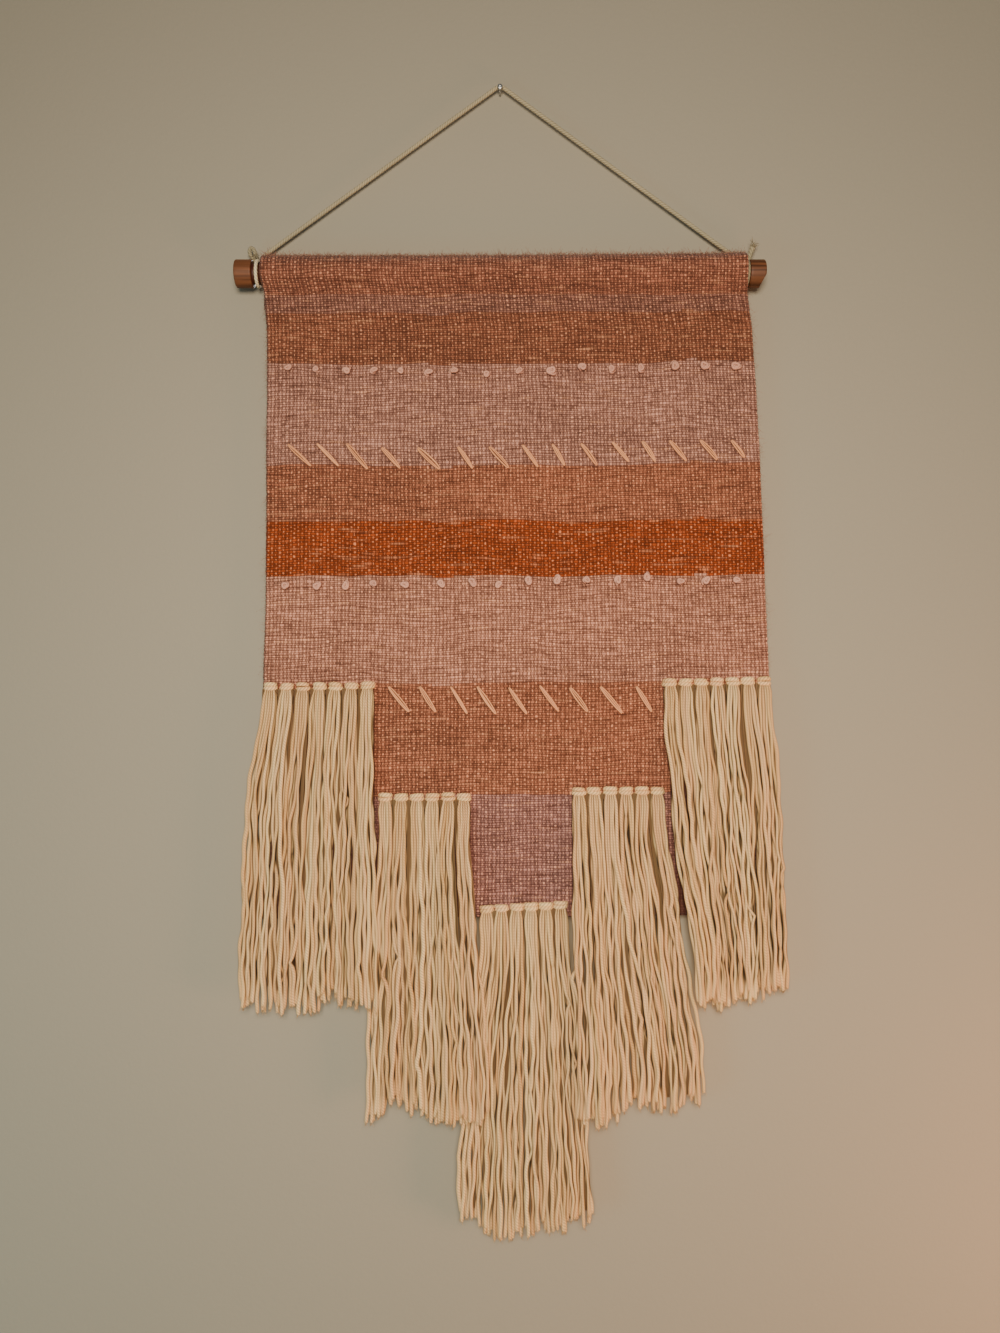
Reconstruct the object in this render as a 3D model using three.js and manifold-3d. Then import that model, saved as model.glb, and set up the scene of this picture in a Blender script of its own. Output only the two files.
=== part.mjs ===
// Woven wall hanging on a wooden rod, hung from a nail by a cord.
// Millimetres. +Z is up, +X is to the viewer's right and the viewer stands on the -Y side.
// The wall is the plane y = 0, and the origin is where the nail's axis leaves the wall.

import * as THREE from 'three';
import { mergeVertices } from 'three/addons/utils/BufferGeometryUtils.js';
import Module from 'manifold-3d';

const wasm = await Module();
wasm.setup();

// Clearance between pieces that touch
const GAP = 0.3;

// Rod: a round stick with a groove turned near each end for the cord
const ROD_RADIUS = 12.7;
const ROD_Y = -18;
const ROD_Z = -187;
const ROD_LEFT = -247.6;
const ROD_RIGHT = 247.6;
const ROD_CHAMFER = 0.9;
const ROD_SIDES = 24;
const GROOVE_RADIUS = 9.1;
const GROOVES = [
  { left: -231.8, right: -223.2 },
  { left: 228.6, right: 233 },
];
// The lower corner of the right end was sawn off at a slant
const SLANT = { along: 4.4, up: 8, width: 40 };

// Cloth: one sheet, folded to the back over the rod and sewn down below it
const CLOTH = 2.4;
const POCKET_SLACK = 0.3;
const POCKET_STEP = 0.52;
const SEAM_DROP = 18.2;
const SEAM_ALLOWANCE = 14;
const SEAM_TUCK = 1.6;
const COLUMNS = 14;
const ROWS = 10;
const POCKET_LEFT = -221.6;
const POCKET_RIGHT = 228.6;
// The outline of the hanging sheet from the seam down
const OUTLINE = [
  { z: -205, left: -220.4, right: 230.8 },
  { z: -240, left: -217.2, right: 234.6 },
  { z: -300, left: -216.4, right: 237.6 },
  { z: -402, left: -214.9, right: 240.4 },
  { z: -477, left: -214.3, right: 242.4 },
  { z: -560, left: -214.9, right: 244.2 },
  { z: -680, left: -214.6, right: 243.6 },
  { z: -782, left: -213.8, right: 242.6 },
];
// Broad soft waves of the sheet towards and away from the wall
const WAVES = [
  { size: 1.3, across: 300, down: 1500, start: 0.13 },
  { size: 0.6, across: 165, down: 560, start: 0.6 },
];
const WAVES_GROW_TO = -420;

// Cord: over the nail, down to both rod ends and once round each groove
const CORD_RADIUS = 1.9;
const CORD_SIDES = 8;
const CORD_Y = -7.8;
// The route's points, chosen by hand, from the left knot over the nail to the right knot
const CORD_ROUTE = [
  [-228.6, CORD_Y, -172.4],
  [-225.8, CORD_Y, -167.6],
  [-220.4, CORD_Y, -161.4],
  [-206, CORD_Y, -150.4],
  [-185, CORD_Y, -134.6],
  [-165, CORD_Y, -119.5],
  [-145, CORD_Y, -104.4],
  [-125, CORD_Y, -89.3],
  [-105, CORD_Y, -74.2],
  [-85, CORD_Y, -59.1],
  [-65, CORD_Y, -44],
  [-45, CORD_Y, -28.9],
  [-27, CORD_Y, -15.4],
  [-12, CORD_Y, -4.1],
  [-3.9, CORD_Y, 2.1],
  [-2, CORD_Y, 3.1],
  [0, CORD_Y, 3.4],
  [2, CORD_Y, 3.1],
  [3.9, CORD_Y, 2.1],
  [12, CORD_Y, -4.2],
  [27, CORD_Y, -15.7],
  [45, CORD_Y, -29.4],
  [65, CORD_Y, -44.8],
  [85, CORD_Y, -60.1],
  [105, CORD_Y, -75.4],
  [125, CORD_Y, -90.7],
  [145, CORD_Y, -106],
  [165, CORD_Y, -121.3],
  [185, CORD_Y, -136.6],
  [207, CORD_Y, -153.4],
  [220, CORD_Y, -162.9],
  [229, CORD_Y, -168.6],
  [234.8, CORD_Y, -171.8],
];
const STEPS_PER_POINT = 2;
// One turn in each groove, and the knot behind the rod's top with the cut tail that stands up from it.
// root: where the turn rises out of its groove into the knot
const TURNS = [
  {
    name: 'cord_turn_left', x: -227.2, radius: 11.4, thick: 1.8,
    knot: [-230, -8.4, -173.3], half: [4, 3.8, 4.2], root: [-227.7, -10.4, -178.9],
    tail: [[-231.6, -9.4, -171.4], [-234.4, -11, -167], [-236.6, -12.4, -162], [-235.6, -13, -158.4]],
  },
  {
    name: 'cord_turn_right', x: 230.9, radius: 11.2, thick: 1.6,
    knot: [236.4, -7.9, -172], half: [4.4, 3.6, 3.8], root: [231.4, -11.4, -178.2],
    tail: [[236.8, -9.8, -172.2], [236.2, -11.4, -168], [237.2, -12.6, -163.2], [238.4, -13, -158.6]],
  },
];
const TURN_STEPS = 16;
const RISE_SIZE = 0.75;
const TURN_SIDES = 6;

// Nail: the stem ends at the wall, and the cord lies on it behind the head
const NAIL_RADIUS = 1.2;
const NAIL_HEAD_RADIUS = 2.6;
const NAIL_LENGTH = 14.6;
const NAIL_HEAD = 1.4;
const NAIL_SIDES = 12;

// Fringe: doubled yarns hitched to the cloth's face, eight ends below each knot, four in front
const YARN_RADIUS = 1.68;
const ROOT_RADIUS = 0.95;
const TIP_RADIUS = 1.3;
const ENDS_ACROSS = 4;
// The back ends lie half a pitch aside, in the gaps between the front ones. side: the place within a pitch
const YARN_LAYERS = [
  { depth: 1.55, root: 1.5, side: 0.75 },
  { depth: 4.95, root: 3.6, side: 0.25 },
];
const STATIONS = [0, 0.13, 0.46, 1];
const ROOT_DROP = 2;
const LOCK_WIDTH = 8.4;
const LOCK_OPENS_BY = 0.13;
const SWAY = { size: 2.6, turns: 0.8, drift: 0.5 };
const RAGGED = 3.2;
const KNOT_HEAD = { width: 10.6, height: 6.8, depth: 6.2 };
const STRIP = { height: 3, depth: 2, clears: 0.6 };
const YARN_CLEARS = 1;
// How far strands that lie on the next group stand out over it
const OVER = 7.2;
// One row for each group. first, last: the end knots' places. top, middle, low: the sides of the
// hanging yarn at three depths. tips: heights of the cut ends from left to right.
// over: the shares of the width between which strands climb onto the next group, from flat to full.
const GROUPS = [
  {
    name: 'fringe_left_outer', knots: 7, first: { x: -208.7, z: -575.4 }, last: { x: -120.5, z: -574.6 },
    top: [-218.4, -113.2], middle: [-227.2, -111.6], low: [-231.6, -110],
    tips: [-857, -861, -857, -851, -860], over: [0.78, 0.93], climb: [0.08, 0.42],
  },
  {
    name: 'fringe_right_outer', knots: 7, first: { x: 154.7, z: -571.7 }, last: { x: 239.7, z: -569.9 },
    top: [148, 248], middle: [156, 252.8], low: [174.6, 255],
    tips: [-850, -856, -852, -844, -846], over: [0.2, 0.06], climb: [0.08, 0.42],
  },
  {
    name: 'fringe_left_middle', knots: 6, first: { x: -103.2, z: -675.1 }, last: { x: -32.3, z: -675.1 },
    top: [-109, -26.6], middle: [-113.6, -19.4], low: [-117.6, -12.4],
    tips: [-954, -946, -951, -957, -951], over: [0.56, 0.74], climb: [0.04, 0.34],
  },
  {
    name: 'fringe_right_middle', knots: 6, first: { x: 70.6, z: -669.3 }, last: { x: 142, z: -669.3 },
    top: [64.6, 148.2], middle: [64, 162], low: [69, 179],
    tips: [-955, -950, -942, -943, -938], over: [0.34, 0.16], climb: [0.04, 0.34],
  },
  {
    name: 'fringe_centre', knots: 6, first: { x: -11.7, z: -774 }, last: { x: 54.2, z: -770.6 },
    top: [-18, 60.6], middle: [-29, 70.4], low: [-36.8, 80],
    tips: [-1038, -1052, -1054, -1047, -1044], over: [2, 3], climb: [0, 1],
  },
];

// Finishes, as plain colours
const FINISHES = {
  wood: { color: 0x8a5a36, roughness: 0.6, metalness: 0 },
  cloth: { color: 0xa56a50, roughness: 0.95, metalness: 0 },
  cord: { color: 0xc9bda0, roughness: 0.9, metalness: 0 },
  yarn: { color: 0xd8b790, roughness: 0.95, metalness: 0 },
  steel: { color: 0xc8c8c4, roughness: 0.35, metalness: 1 },
};

// Number helpers
function blend(a, b, share) {
  return a + (b - a) * share;
}

function ease(from, to, value) {
  const t = THREE.MathUtils.clamp((value - from) / (to - from), 0, 1);
  return t * t * (3 - 2 * t);
}

// A repeatable number from 0 to 1 for each counting number
function uneven(index) {
  const value = Math.sin(index * 12.9898 + 4.1) * 43758.5453;
  return value - Math.floor(value);
}

// The value at a share of the way through a short list
function along(values, share) {
  const place = THREE.MathUtils.clamp(share, 0, 1) * (values.length - 1);
  const index = Math.min(Math.floor(place), values.length - 2);
  return blend(values[index], values[index + 1], place - index);
}

// Bodies: corner lists and faces become a solid with its faces pointing out
function closedGeometry(positions, faces) {
  let volume = 0;
  const corner = (index) => new THREE.Vector3().fromArray(positions, index * 3);
  for (let i = 0; i < faces.length; i += 3) {
    volume += corner(faces[i]).dot(corner(faces[i + 1]).cross(corner(faces[i + 2])));
  }
  const outward = volume > 0 ? faces : faces.toReversed();
  const geometry = new THREE.BufferGeometry();
  geometry.setAttribute('position', new THREE.Float32BufferAttribute(positions, 3));
  geometry.setIndex(outward);
  return geometry;
}

function toSolid(geometry) {
  const bare = geometry.clone();
  bare.deleteAttribute('normal');
  bare.deleteAttribute('uv');
  const merged = mergeVertices(bare, 1e-4);
  const mesh = new wasm.Mesh({
    numProp: 3,
    vertProperties: new Float32Array(merged.attributes.position.array),
    triVerts: new Uint32Array(merged.index.array),
  });
  return new wasm.Manifold(mesh);
}

function toGeometry(solid) {
  const mesh = solid.getMesh();
  const geometry = new THREE.BufferGeometry();
  geometry.setAttribute('position', new THREE.Float32BufferAttribute(mesh.vertProperties, 3));
  geometry.setIndex(new THREE.Uint32BufferAttribute(mesh.triVerts, 1));
  return geometry;
}

function joined(geometries) {
  const solids = geometries.map(toSolid);
  return solids.reduce((sum, next) => sum.add(next));
}

// A body through a row of rings with the same number of corners, both ends filled
function loft(rings) {
  const sides = rings[0].length;
  const positions = rings.flat(2);
  const faces = [];
  for (let ring = 0; ring + 1 < rings.length; ring++) {
    for (let side = 0; side < sides; side++) {
      const a = ring * sides + side;
      const b = ring * sides + ((side + 1) % sides);
      faces.push(a, b, a + sides);
      faces.push(b, b + sides, a + sides);
    }
  }
  const last = (rings.length - 1) * sides;
  for (let side = 1; side + 1 < sides; side++) {
    faces.push(0, side + 1, side);
    faces.push(last, last + side, last + side + 1);
  }
  return closedGeometry(positions, faces);
}

// A band that closes on itself: rows of rings, where the first ring follows the last one
function closedBand(rings) {
  const sides = rings[0].length;
  const positions = rings.flat(2);
  const faces = [];
  for (let ring = 0; ring < rings.length; ring++) {
    const next = (ring + 1) % rings.length;
    for (let side = 0; side < sides; side++) {
      const other = (side + 1) % sides;
      const a = ring * sides + side;
      const b = ring * sides + other;
      const c = next * sides + side;
      const d = next * sides + other;
      faces.push(a, b, c);
      faces.push(b, d, c);
    }
  }
  return closedGeometry(positions, faces);
}

// Sheet position: the middle of the cloth, and how far its waves carry it from the flat
function swell(x, z) {
  const grow = ease(ROD_Z - SEAM_DROP - SEAM_ALLOWANCE, WAVES_GROW_TO, z);
  let offset = 0;
  for (const wave of WAVES) {
    offset += wave.size * Math.sin(2 * Math.PI * (x / wave.across + z / wave.down + wave.start));
  }
  return offset * grow;
}

function clothFront(x, z) {
  return ROD_Y + swell(x, z) - CLOTH / 2;
}

function outlineAt(z) {
  let row = 0;
  while (row < OUTLINE.length - 2 && z < OUTLINE[row + 1].z) {
    row++;
  }
  const above = OUTLINE[row];
  const below = OUTLINE[row + 1];
  const share = (z - above.z) / (below.z - above.z);
  return { left: blend(above.left, below.left, share), right: blend(above.right, below.right, share) };
}

// A flat-lying slab of the sheet between two heights: rings run down the front and up the back
function sheetSlab(top, bottom, rows, near, far) {
  const rings = [];
  for (let column = 0; column <= COLUMNS; column++) {
    const front = [];
    const back = [];
    for (let row = 0; row <= rows; row++) {
      const z = blend(top, bottom, row / rows);
      const side = outlineAt(z);
      const x = blend(side.left, side.right, column / COLUMNS);
      const y = ROD_Y + swell(x, z);
      front.push([x, y + near, z]);
      back.unshift([x, y + far, z]);
    }
    rings.push([...front, ...back]);
  }
  return loft(rings);
}

// The pocket: a loop of cloth round the rod that narrows to the seam below it
function pocketLoop() {
  const middle = (ROD_RADIUS + POCKET_SLACK) / Math.cos(POCKET_STEP / 2) + CLOTH / 2;
  const tangent = Math.acos(middle / SEAM_DROP);
  const steps = Math.ceil((Math.PI - tangent) / POCKET_STEP);
  const angles = [0, tangent / 2];
  for (let step = 0; step <= steps; step++) {
    angles.push(blend(tangent, Math.PI, step / steps));
  }
  const turn = [...angles, ...angles.slice(1, -1).map((angle) => -angle).reverse()];
  const rings = [];
  for (const angle of turn) {
    const size = Math.abs(angle);
    const reach = size < tangent ? middle / Math.cos(tangent - size) : middle;
    const ring = [];
    for (const side of [-1, 1]) {
      for (let step = 0; step <= COLUMNS; step++) {
        const column = side < 0 ? step : COLUMNS - step;
        const x = blend(POCKET_LEFT, POCKET_RIGHT, column / COLUMNS);
        const slack = 0.5 * uneven(column * 3 + 1) * ease(1.2, 2.4, size);
        const radius = reach + (side * CLOTH) / 2 + slack;
        ring.push([x, ROD_Y - radius * Math.sin(angle), ROD_Z - radius * Math.cos(angle)]);
      }
    }
    rings.push(ring);
  }
  return closedBand(rings);
}

function makeCloth() {
  const seam = ROD_Z - SEAM_DROP;
  const bottom = OUTLINE.at(-1).z;
  const panel = sheetSlab(seam, bottom, ROWS, -CLOTH / 2, CLOTH / 2);
  const allowance = sheetSlab(seam, seam - SEAM_ALLOWANCE, 1, 0, CLOTH + SEAM_TUCK / 2);
  return toGeometry(joined([panel, allowance, pocketLoop()]));
}

// Rod: a turned profile round the X axis, then the slanted saw cut
function makeRod() {
  const profile = [[0, ROD_LEFT], [ROD_RADIUS - ROD_CHAMFER, ROD_LEFT], [ROD_RADIUS, ROD_LEFT + ROD_CHAMFER]];
  for (const groove of GROOVES) {
    profile.push([ROD_RADIUS, groove.left]);
    profile.push([GROOVE_RADIUS, groove.left + GAP]);
    profile.push([GROOVE_RADIUS, groove.right - GAP]);
    profile.push([ROD_RADIUS, groove.right]);
  }
  profile.push([ROD_RADIUS, ROD_RIGHT - ROD_CHAMFER], [ROD_RADIUS - ROD_CHAMFER, ROD_RIGHT], [0, ROD_RIGHT]);
  const points = profile.map(([radius, x]) => new THREE.Vector2(radius, x));
  const turned = new THREE.LatheGeometry(points, ROD_SIDES);
  turned.rotateZ(-Math.PI / 2);
  turned.translate(0, ROD_Y, ROD_Z);
  const corner = new THREE.Shape([
    new THREE.Vector2(ROD_RIGHT - SLANT.along, ROD_Z - ROD_RADIUS),
    new THREE.Vector2(ROD_RIGHT + SLANT.along, ROD_Z - ROD_RADIUS - 2 * SLANT.up),
    new THREE.Vector2(ROD_RIGHT + SLANT.along, ROD_Z - ROD_RADIUS + 2 * SLANT.up),
  ]);
  const wedge = new THREE.ExtrudeGeometry(corner, { depth: SLANT.width, bevelEnabled: false });
  wedge.rotateX(Math.PI / 2);
  wedge.translate(0, ROD_Y + SLANT.width / 2, 0);
  return toGeometry(toSolid(turned).subtract(toSolid(wedge)));
}

// A curve whose steps are shared out by the route's points, so that its bends get more of them
class RouteCurve extends THREE.CatmullRomCurve3 {
  getUtoTmapping(u) {
    return u;
  }
}

// Cord: a tube along the route, thickened and lengthened where room for it is cut
function cordTube(extraRadius, extraLength) {
  const points = CORD_ROUTE.map((point) => new THREE.Vector3(...point));
  if (extraLength > 0) {
    const start = points[0].clone().sub(points[1]).setLength(extraLength).add(points[0]);
    const end = points.at(-1).clone().sub(points.at(-2)).setLength(extraLength).add(points.at(-1));
    points.unshift(start);
    points.push(end);
  }
  const path = new RouteCurve(points, false, 'centripetal');
  const section = new THREE.Shape();
  for (let side = 0; side < CORD_SIDES; side++) {
    const angle = (2 * Math.PI * side) / CORD_SIDES;
    const x = (CORD_RADIUS + extraRadius) * Math.cos(angle);
    const y = (CORD_RADIUS + extraRadius) * Math.sin(angle);
    if (side === 0) {
      section.moveTo(x, y);
    } else {
      section.lineTo(x, y);
    }
  }
  section.closePath();
  const steps = STEPS_PER_POINT * (points.length - 1);
  return new THREE.ExtrudeGeometry(section, { steps, extrudePath: path, bevelEnabled: false });
}

// A round ring of corners that lies level, for bodies that run up or down
function levelRing([x, y, z], radius, sides, firstAngle) {
  const ring = [];
  for (let side = 0; side < sides; side++) {
    const angle = firstAngle + (2 * Math.PI * side) / sides;
    ring.push([x + radius * Math.cos(angle), y + radius * Math.sin(angle), z]);
  }
  return ring;
}

// A turn of cord in its groove with its knot and tail, less the room that the hanging stretch needs
function makeCordTurn(turn, room) {
  const profile = [];
  for (let side = 0; side <= TURN_SIDES; side++) {
    const angle = (2 * Math.PI * side) / TURN_SIDES;
    const radius = turn.radius + turn.thick * Math.cos(angle);
    profile.push(new THREE.Vector2(radius, turn.x + turn.thick * Math.sin(angle)));
  }
  const ring = new THREE.LatheGeometry(profile, TURN_STEPS);
  ring.rotateZ(-Math.PI / 2);
  ring.translate(0, ROD_Y, ROD_Z);
  const lump = new THREE.SphereGeometry(1, 10, 6);
  lump.scale(...turn.half);
  lump.translate(...turn.knot);
  const tail = loft(turn.tail.map((point) => levelRing(point, CORD_RADIUS, TURN_SIDES, 0)));
  const [, knotY, knotZ] = turn.knot;
  const rise = loft([
    levelRing(turn.root, turn.thick * RISE_SIZE, TURN_SIDES, 0),
    levelRing([turn.root[0], knotY, knotZ], turn.thick * RISE_SIZE, TURN_SIDES, 0),
  ]);
  return toGeometry(joined([ring, rise, lump, tail]).subtract(room));
}

function makeNail() {
  const profile = [
    [0, 0],
    [NAIL_RADIUS, 0],
    [NAIL_RADIUS, NAIL_LENGTH - NAIL_HEAD],
    [NAIL_HEAD_RADIUS, NAIL_LENGTH - NAIL_HEAD],
    [NAIL_HEAD_RADIUS * 0.9, NAIL_LENGTH - NAIL_HEAD * 0.35],
    [NAIL_HEAD_RADIUS * 0.45, NAIL_LENGTH],
    [0, NAIL_LENGTH],
  ];
  const nail = new THREE.LatheGeometry(profile.map(([r, h]) => new THREE.Vector2(r, h)), NAIL_SIDES);
  nail.rotateX(Math.PI);
  return nail;
}

// Fringe: sides of the hanging yarn at a share of its length
function sidesAt(group, share) {
  const side = (index) => {
    const upper = blend(group.top[index], group.middle[index], ease(0, 0.5, share));
    return blend(upper, group.low[index], ease(0.42, 0.95, share));
  };
  return [side(0), side(1)];
}

// The centre line of one yarn end, as stations from its knot to its cut tip
function yarnPath(group, knot, place, layer, seed) {
  const across = (knot + (place + 0.5) / ENDS_ACROSS) / group.knots;
  const side = group.over[0] > group.over[1] ? 1 - layer.side : layer.side;
  const knotShare = knot / (group.knots - 1);
  const knotX = blend(group.first.x, group.last.x, knotShare);
  const knotZ = blend(group.first.z, group.last.z, knotShare);
  const tipZ = along(group.tips, across) + RAGGED * (uneven(seed) * 2 - 1);
  return STATIONS.map((share) => {
    const [left, right] = sidesAt(group, share);
    const pitch = (right - left) / (group.knots * ENDS_ACROSS);
    const spread = left + pitch * (knot * ENDS_ACROSS + place + side);
    const gathered = knotX + LOCK_WIDTH * ((place + 0.5) / ENDS_ACROSS - 0.5);
    const phase = 2 * Math.PI * (share * SWAY.turns + across * SWAY.drift);
    const sway = SWAY.size * Math.sin(Math.PI * share) * Math.sin(phase);
    const opened = ease(0, LOCK_OPENS_BY, share);
    const x = blend(gathered, spread + sway, opened);
    const z = blend(knotZ - ROOT_DROP, tipZ, share);
    const depth = blend(layer.root, layer.depth, opened);
    const climbed = ease(group.over[0], group.over[1], across) * ease(group.climb[0], group.climb[1], share);
    const y = clothFront(x, Math.max(z, OUTLINE.at(-1).z)) - YARN_CLEARS - depth - OVER * climbed;
    const radius = share === 0 ? ROOT_RADIUS : blend(YARN_RADIUS, TIP_RADIUS, ease(0.9, 1, share));
    return { centre: [x, y, z], radius };
  });
}

// A three-sided yarn end with one edge towards the viewer
function yarnBody(path) {
  return loft(path.map(({ centre, radius }) => levelRing(centre, radius, 3, -Math.PI / 2)));
}

// The rounded bar of a cow hitch, lying across its lock
function knotHead(x, z) {
  const centre = clothFront(x, z) - STRIP.clears - KNOT_HEAD.depth / 2;
  const stations = [[-1, 0.6], [-0.3, 1.04], [0.3, 1.04], [1, 0.6]];
  const rings = stations.map(([share, size]) => {
    const ring = [];
    for (let side = 0; side < 6; side++) {
      const angle = (2 * Math.PI * (side + 0.5)) / 6;
      ring.push([
        x + (share * KNOT_HEAD.width) / 2,
        centre + (size * KNOT_HEAD.depth * Math.cos(angle)) / 2,
        z + (size * KNOT_HEAD.height * Math.sin(angle)) / 2,
      ]);
    }
    return ring;
  });
  return loft(rings);
}

// The thin strip that the knots of one group are fused to, just off the cloth
function knotStrip(group) {
  const rings = [];
  for (let knot = 0; knot < group.knots; knot++) {
    const share = knot / (group.knots - 1);
    const x = blend(group.first.x, group.last.x, share);
    const z = blend(group.first.z, group.last.z, share);
    const back = clothFront(x, z) - STRIP.clears;
    rings.push([
      [x, back, z - STRIP.height / 2],
      [x, back, z + STRIP.height / 2],
      [x, back - STRIP.depth, z + STRIP.height / 2],
      [x, back - STRIP.depth, z - STRIP.height / 2],
    ]);
  }
  return loft(rings);
}

function makeFringe(group) {
  const bodies = [knotStrip(group)];
  let seed = group.knots + Math.round(group.first.x);
  for (let knot = 0; knot < group.knots; knot++) {
    const share = knot / (group.knots - 1);
    bodies.push(knotHead(blend(group.first.x, group.last.x, share), blend(group.first.z, group.last.z, share)));
    for (const layer of YARN_LAYERS) {
      for (let place = 0; place < ENDS_ACROSS; place++) {
        seed++;
        bodies.push(yarnBody(yarnPath(group, knot, place, layer, seed)));
      }
    }
  }
  return toGeometry(joined(bodies));
}

// Assembly
const hanging = new THREE.Group();

function addPiece(name, geometry, finish) {
  const mesh = new THREE.Mesh(geometry, new THREE.MeshStandardMaterial(finish));
  mesh.name = name;
  hanging.add(mesh);
}

addPiece('rod', makeRod(), FINISHES.wood);
addPiece('cloth', makeCloth(), FINISHES.cloth);
addPiece('hanging_cord', cordTube(0, 0), FINISHES.cord);
const cordRoom = toSolid(cordTube(GAP, GAP));
for (const turn of TURNS) {
  addPiece(turn.name, makeCordTurn(turn, cordRoom), FINISHES.cord);
}
addPiece('nail', makeNail(), FINISHES.steel);
for (const group of GROUPS) {
  addPiece(group.name, makeFringe(group), FINISHES.yarn);
}

export default hanging;
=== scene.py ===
"""Looks of a woven wall hanging: banded wool cloth on a wooden rod, with sewing, stepped fringe and a cord.

Lengths are in millimetres until a mesh is made. +X is to the viewer's right, +Y into the wall and +Z up.
"""

import logging
import math
from collections.abc import Callable
from dataclasses import dataclass
from enum import Enum

import bpy
import numpy as np
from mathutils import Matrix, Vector


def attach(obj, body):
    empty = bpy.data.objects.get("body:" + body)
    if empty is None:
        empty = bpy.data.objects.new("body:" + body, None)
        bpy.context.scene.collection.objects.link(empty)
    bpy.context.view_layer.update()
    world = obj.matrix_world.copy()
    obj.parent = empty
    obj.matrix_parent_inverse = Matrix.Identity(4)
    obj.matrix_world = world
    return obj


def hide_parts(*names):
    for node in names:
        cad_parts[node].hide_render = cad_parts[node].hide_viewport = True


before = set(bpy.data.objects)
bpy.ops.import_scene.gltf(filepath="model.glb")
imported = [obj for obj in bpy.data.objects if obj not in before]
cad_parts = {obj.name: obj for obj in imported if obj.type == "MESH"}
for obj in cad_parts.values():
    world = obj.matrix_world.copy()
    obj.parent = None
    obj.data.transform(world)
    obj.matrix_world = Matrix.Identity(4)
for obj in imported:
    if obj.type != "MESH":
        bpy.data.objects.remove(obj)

Number = float | np.ndarray
Pair = tuple[float, float]
Triple = tuple[float, float, float]
Cover = Callable[[np.ndarray, np.ndarray], np.ndarray]

LOG = logging.getLogger("wall_hanging")
MM = 0.001
BODY = "root"
TURN = 2 * math.pi

# Places that the pieces share with the solids
ROD_RADIUS = 12.7
ROD_Y = -18.0
ROD_Z = -187.0
SEAM_DROP = 18.2
SEAM_Z = ROD_Z - SEAM_DROP
CLOTH_THICK = 2.4
BOTTOM_Z = -781.5
WARP_PITCH = 3.4
PICK_PITCH = 2.1

# A closed end stands past its last ring by this share of the radius
CAP_RISE = 0.4
# Tone of a thread that has none of its own
MIDDLE_TONE = 0.5


class Slot(Enum):
    """Material slots of the record."""

    ROD = "rod_wood"
    CLOTH = "woven_wool"
    CORD = "cotton_cord"
    YARN = "fringe_yarn"
    NAIL = "nail_steel"


class Side(Enum):
    """The two faces of the cloth, as the sign of Y on which sewing stands out."""

    FRONT = -1.0
    BACK = 1.0


class Kind(Enum):
    """The kinds of shader node that the finishes are made of."""

    ATTRIBUTE = "ShaderNodeAttribute"
    BUMP = "ShaderNodeBump"
    COLOUR_PARTS = "ShaderNodeSeparateColor"
    COORDINATES = "ShaderNodeTexCoord"
    GEOMETRY = "ShaderNodeNewGeometry"
    LAY_OVER = "ShaderNodeMixRGB"
    MAPPING = "ShaderNodeMapping"
    MATH = "ShaderNodeMath"
    MIX_SHADERS = "ShaderNodeMixShader"
    NOISE = "ShaderNodeTexNoise"
    OUTPUT = "ShaderNodeOutputMaterial"
    PRINCIPLED = "ShaderNodeBsdfPrincipled"
    RAMP = "ShaderNodeValToRGB"
    RANGE = "ShaderNodeMapRange"
    TO_VECTOR = "ShaderNodeCombineXYZ"
    TRANSPARENT = "ShaderNodeBsdfTransparent"
    VECTOR_MATH = "ShaderNodeVectorMath"
    VECTOR_PARTS = "ShaderNodeSeparateXYZ"
    WAVE = "ShaderNodeTexWave"
    WHITE_NOISE = "ShaderNodeTexWhiteNoise"


# Colour and number helpers


def linear(hex_colour: str) -> tuple[float, float, float, float]:
    """Turn an sRGB hex colour into linear light.

    Args:
        hex_colour: six hex digits with or without a leading mark.

    Returns:
        Red, green, blue and an alpha of 1.
    """
    digits = hex_colour.lstrip("#")
    parts = [int(digits[i : i + 2], 16) / 255 for i in (0, 2, 4)]
    light = [p / 12.92 if p <= 0.04045 else ((p + 0.055) / 1.055) ** 2.4 for p in parts]
    return light[0], light[1], light[2], 1.0


def blend(a: Number, b: Number, share: Number) -> Number:
    """Straight mix of a and b: a + (b - a) * share."""
    return a + (b - a) * share


def ease(start: float, end: float, value: Number) -> Number:
    """Smooth step from 0 at start to 1 at end: t * t * (3 - 2 * t)."""
    t = np.clip((value - start) / (end - start), 0.0, 1.0)
    return t * t * (3 - 2 * t)


def hump(share: np.ndarray, power: float) -> np.ndarray:
    """Arch from 0 at share 0 over 1 in the middle to 0 at share 1: sin(pi * share) ** power."""
    return np.clip(np.sin(math.pi * share), 0, 1) ** power


def ripple(share: np.ndarray, rng: np.random.Generator, waves: int, shape: tuple[int, ...]) -> np.ndarray:
    """Smooth random curve: a sum of sines whose sizes fall off as 1 / (turns + 0.5).

    Args:
        share: places from 0 to 1, which broadcast against the shape.
        rng: seeded source of the sizes and starts.
        waves: how many sines are summed.
        shape: shape of one size for each curve, ending in 1.

    Returns:
        Values of about -1 to 1.
    """
    total = np.zeros(np.broadcast_shapes(share.shape, shape))
    for turns in range(1, waves + 1):
        size = rng.normal(0, 0.6, shape) / (turns + 0.5)
        start = rng.uniform(0, TURN, shape)
        total = total + size * np.sin(TURN * turns * 0.5 * share + start)
    return total


def unit(ways: np.ndarray) -> np.ndarray:
    """Each direction along the last axis, brought to length 1."""
    return ways / np.linalg.norm(ways, axis=-1, keepdims=True)


def length_along(points: np.ndarray) -> np.ndarray:
    """Length along a line of points from its start to each point."""
    return np.concatenate([[0], np.cumsum(np.linalg.norm(np.diff(points, axis=0), axis=1))])


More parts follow.
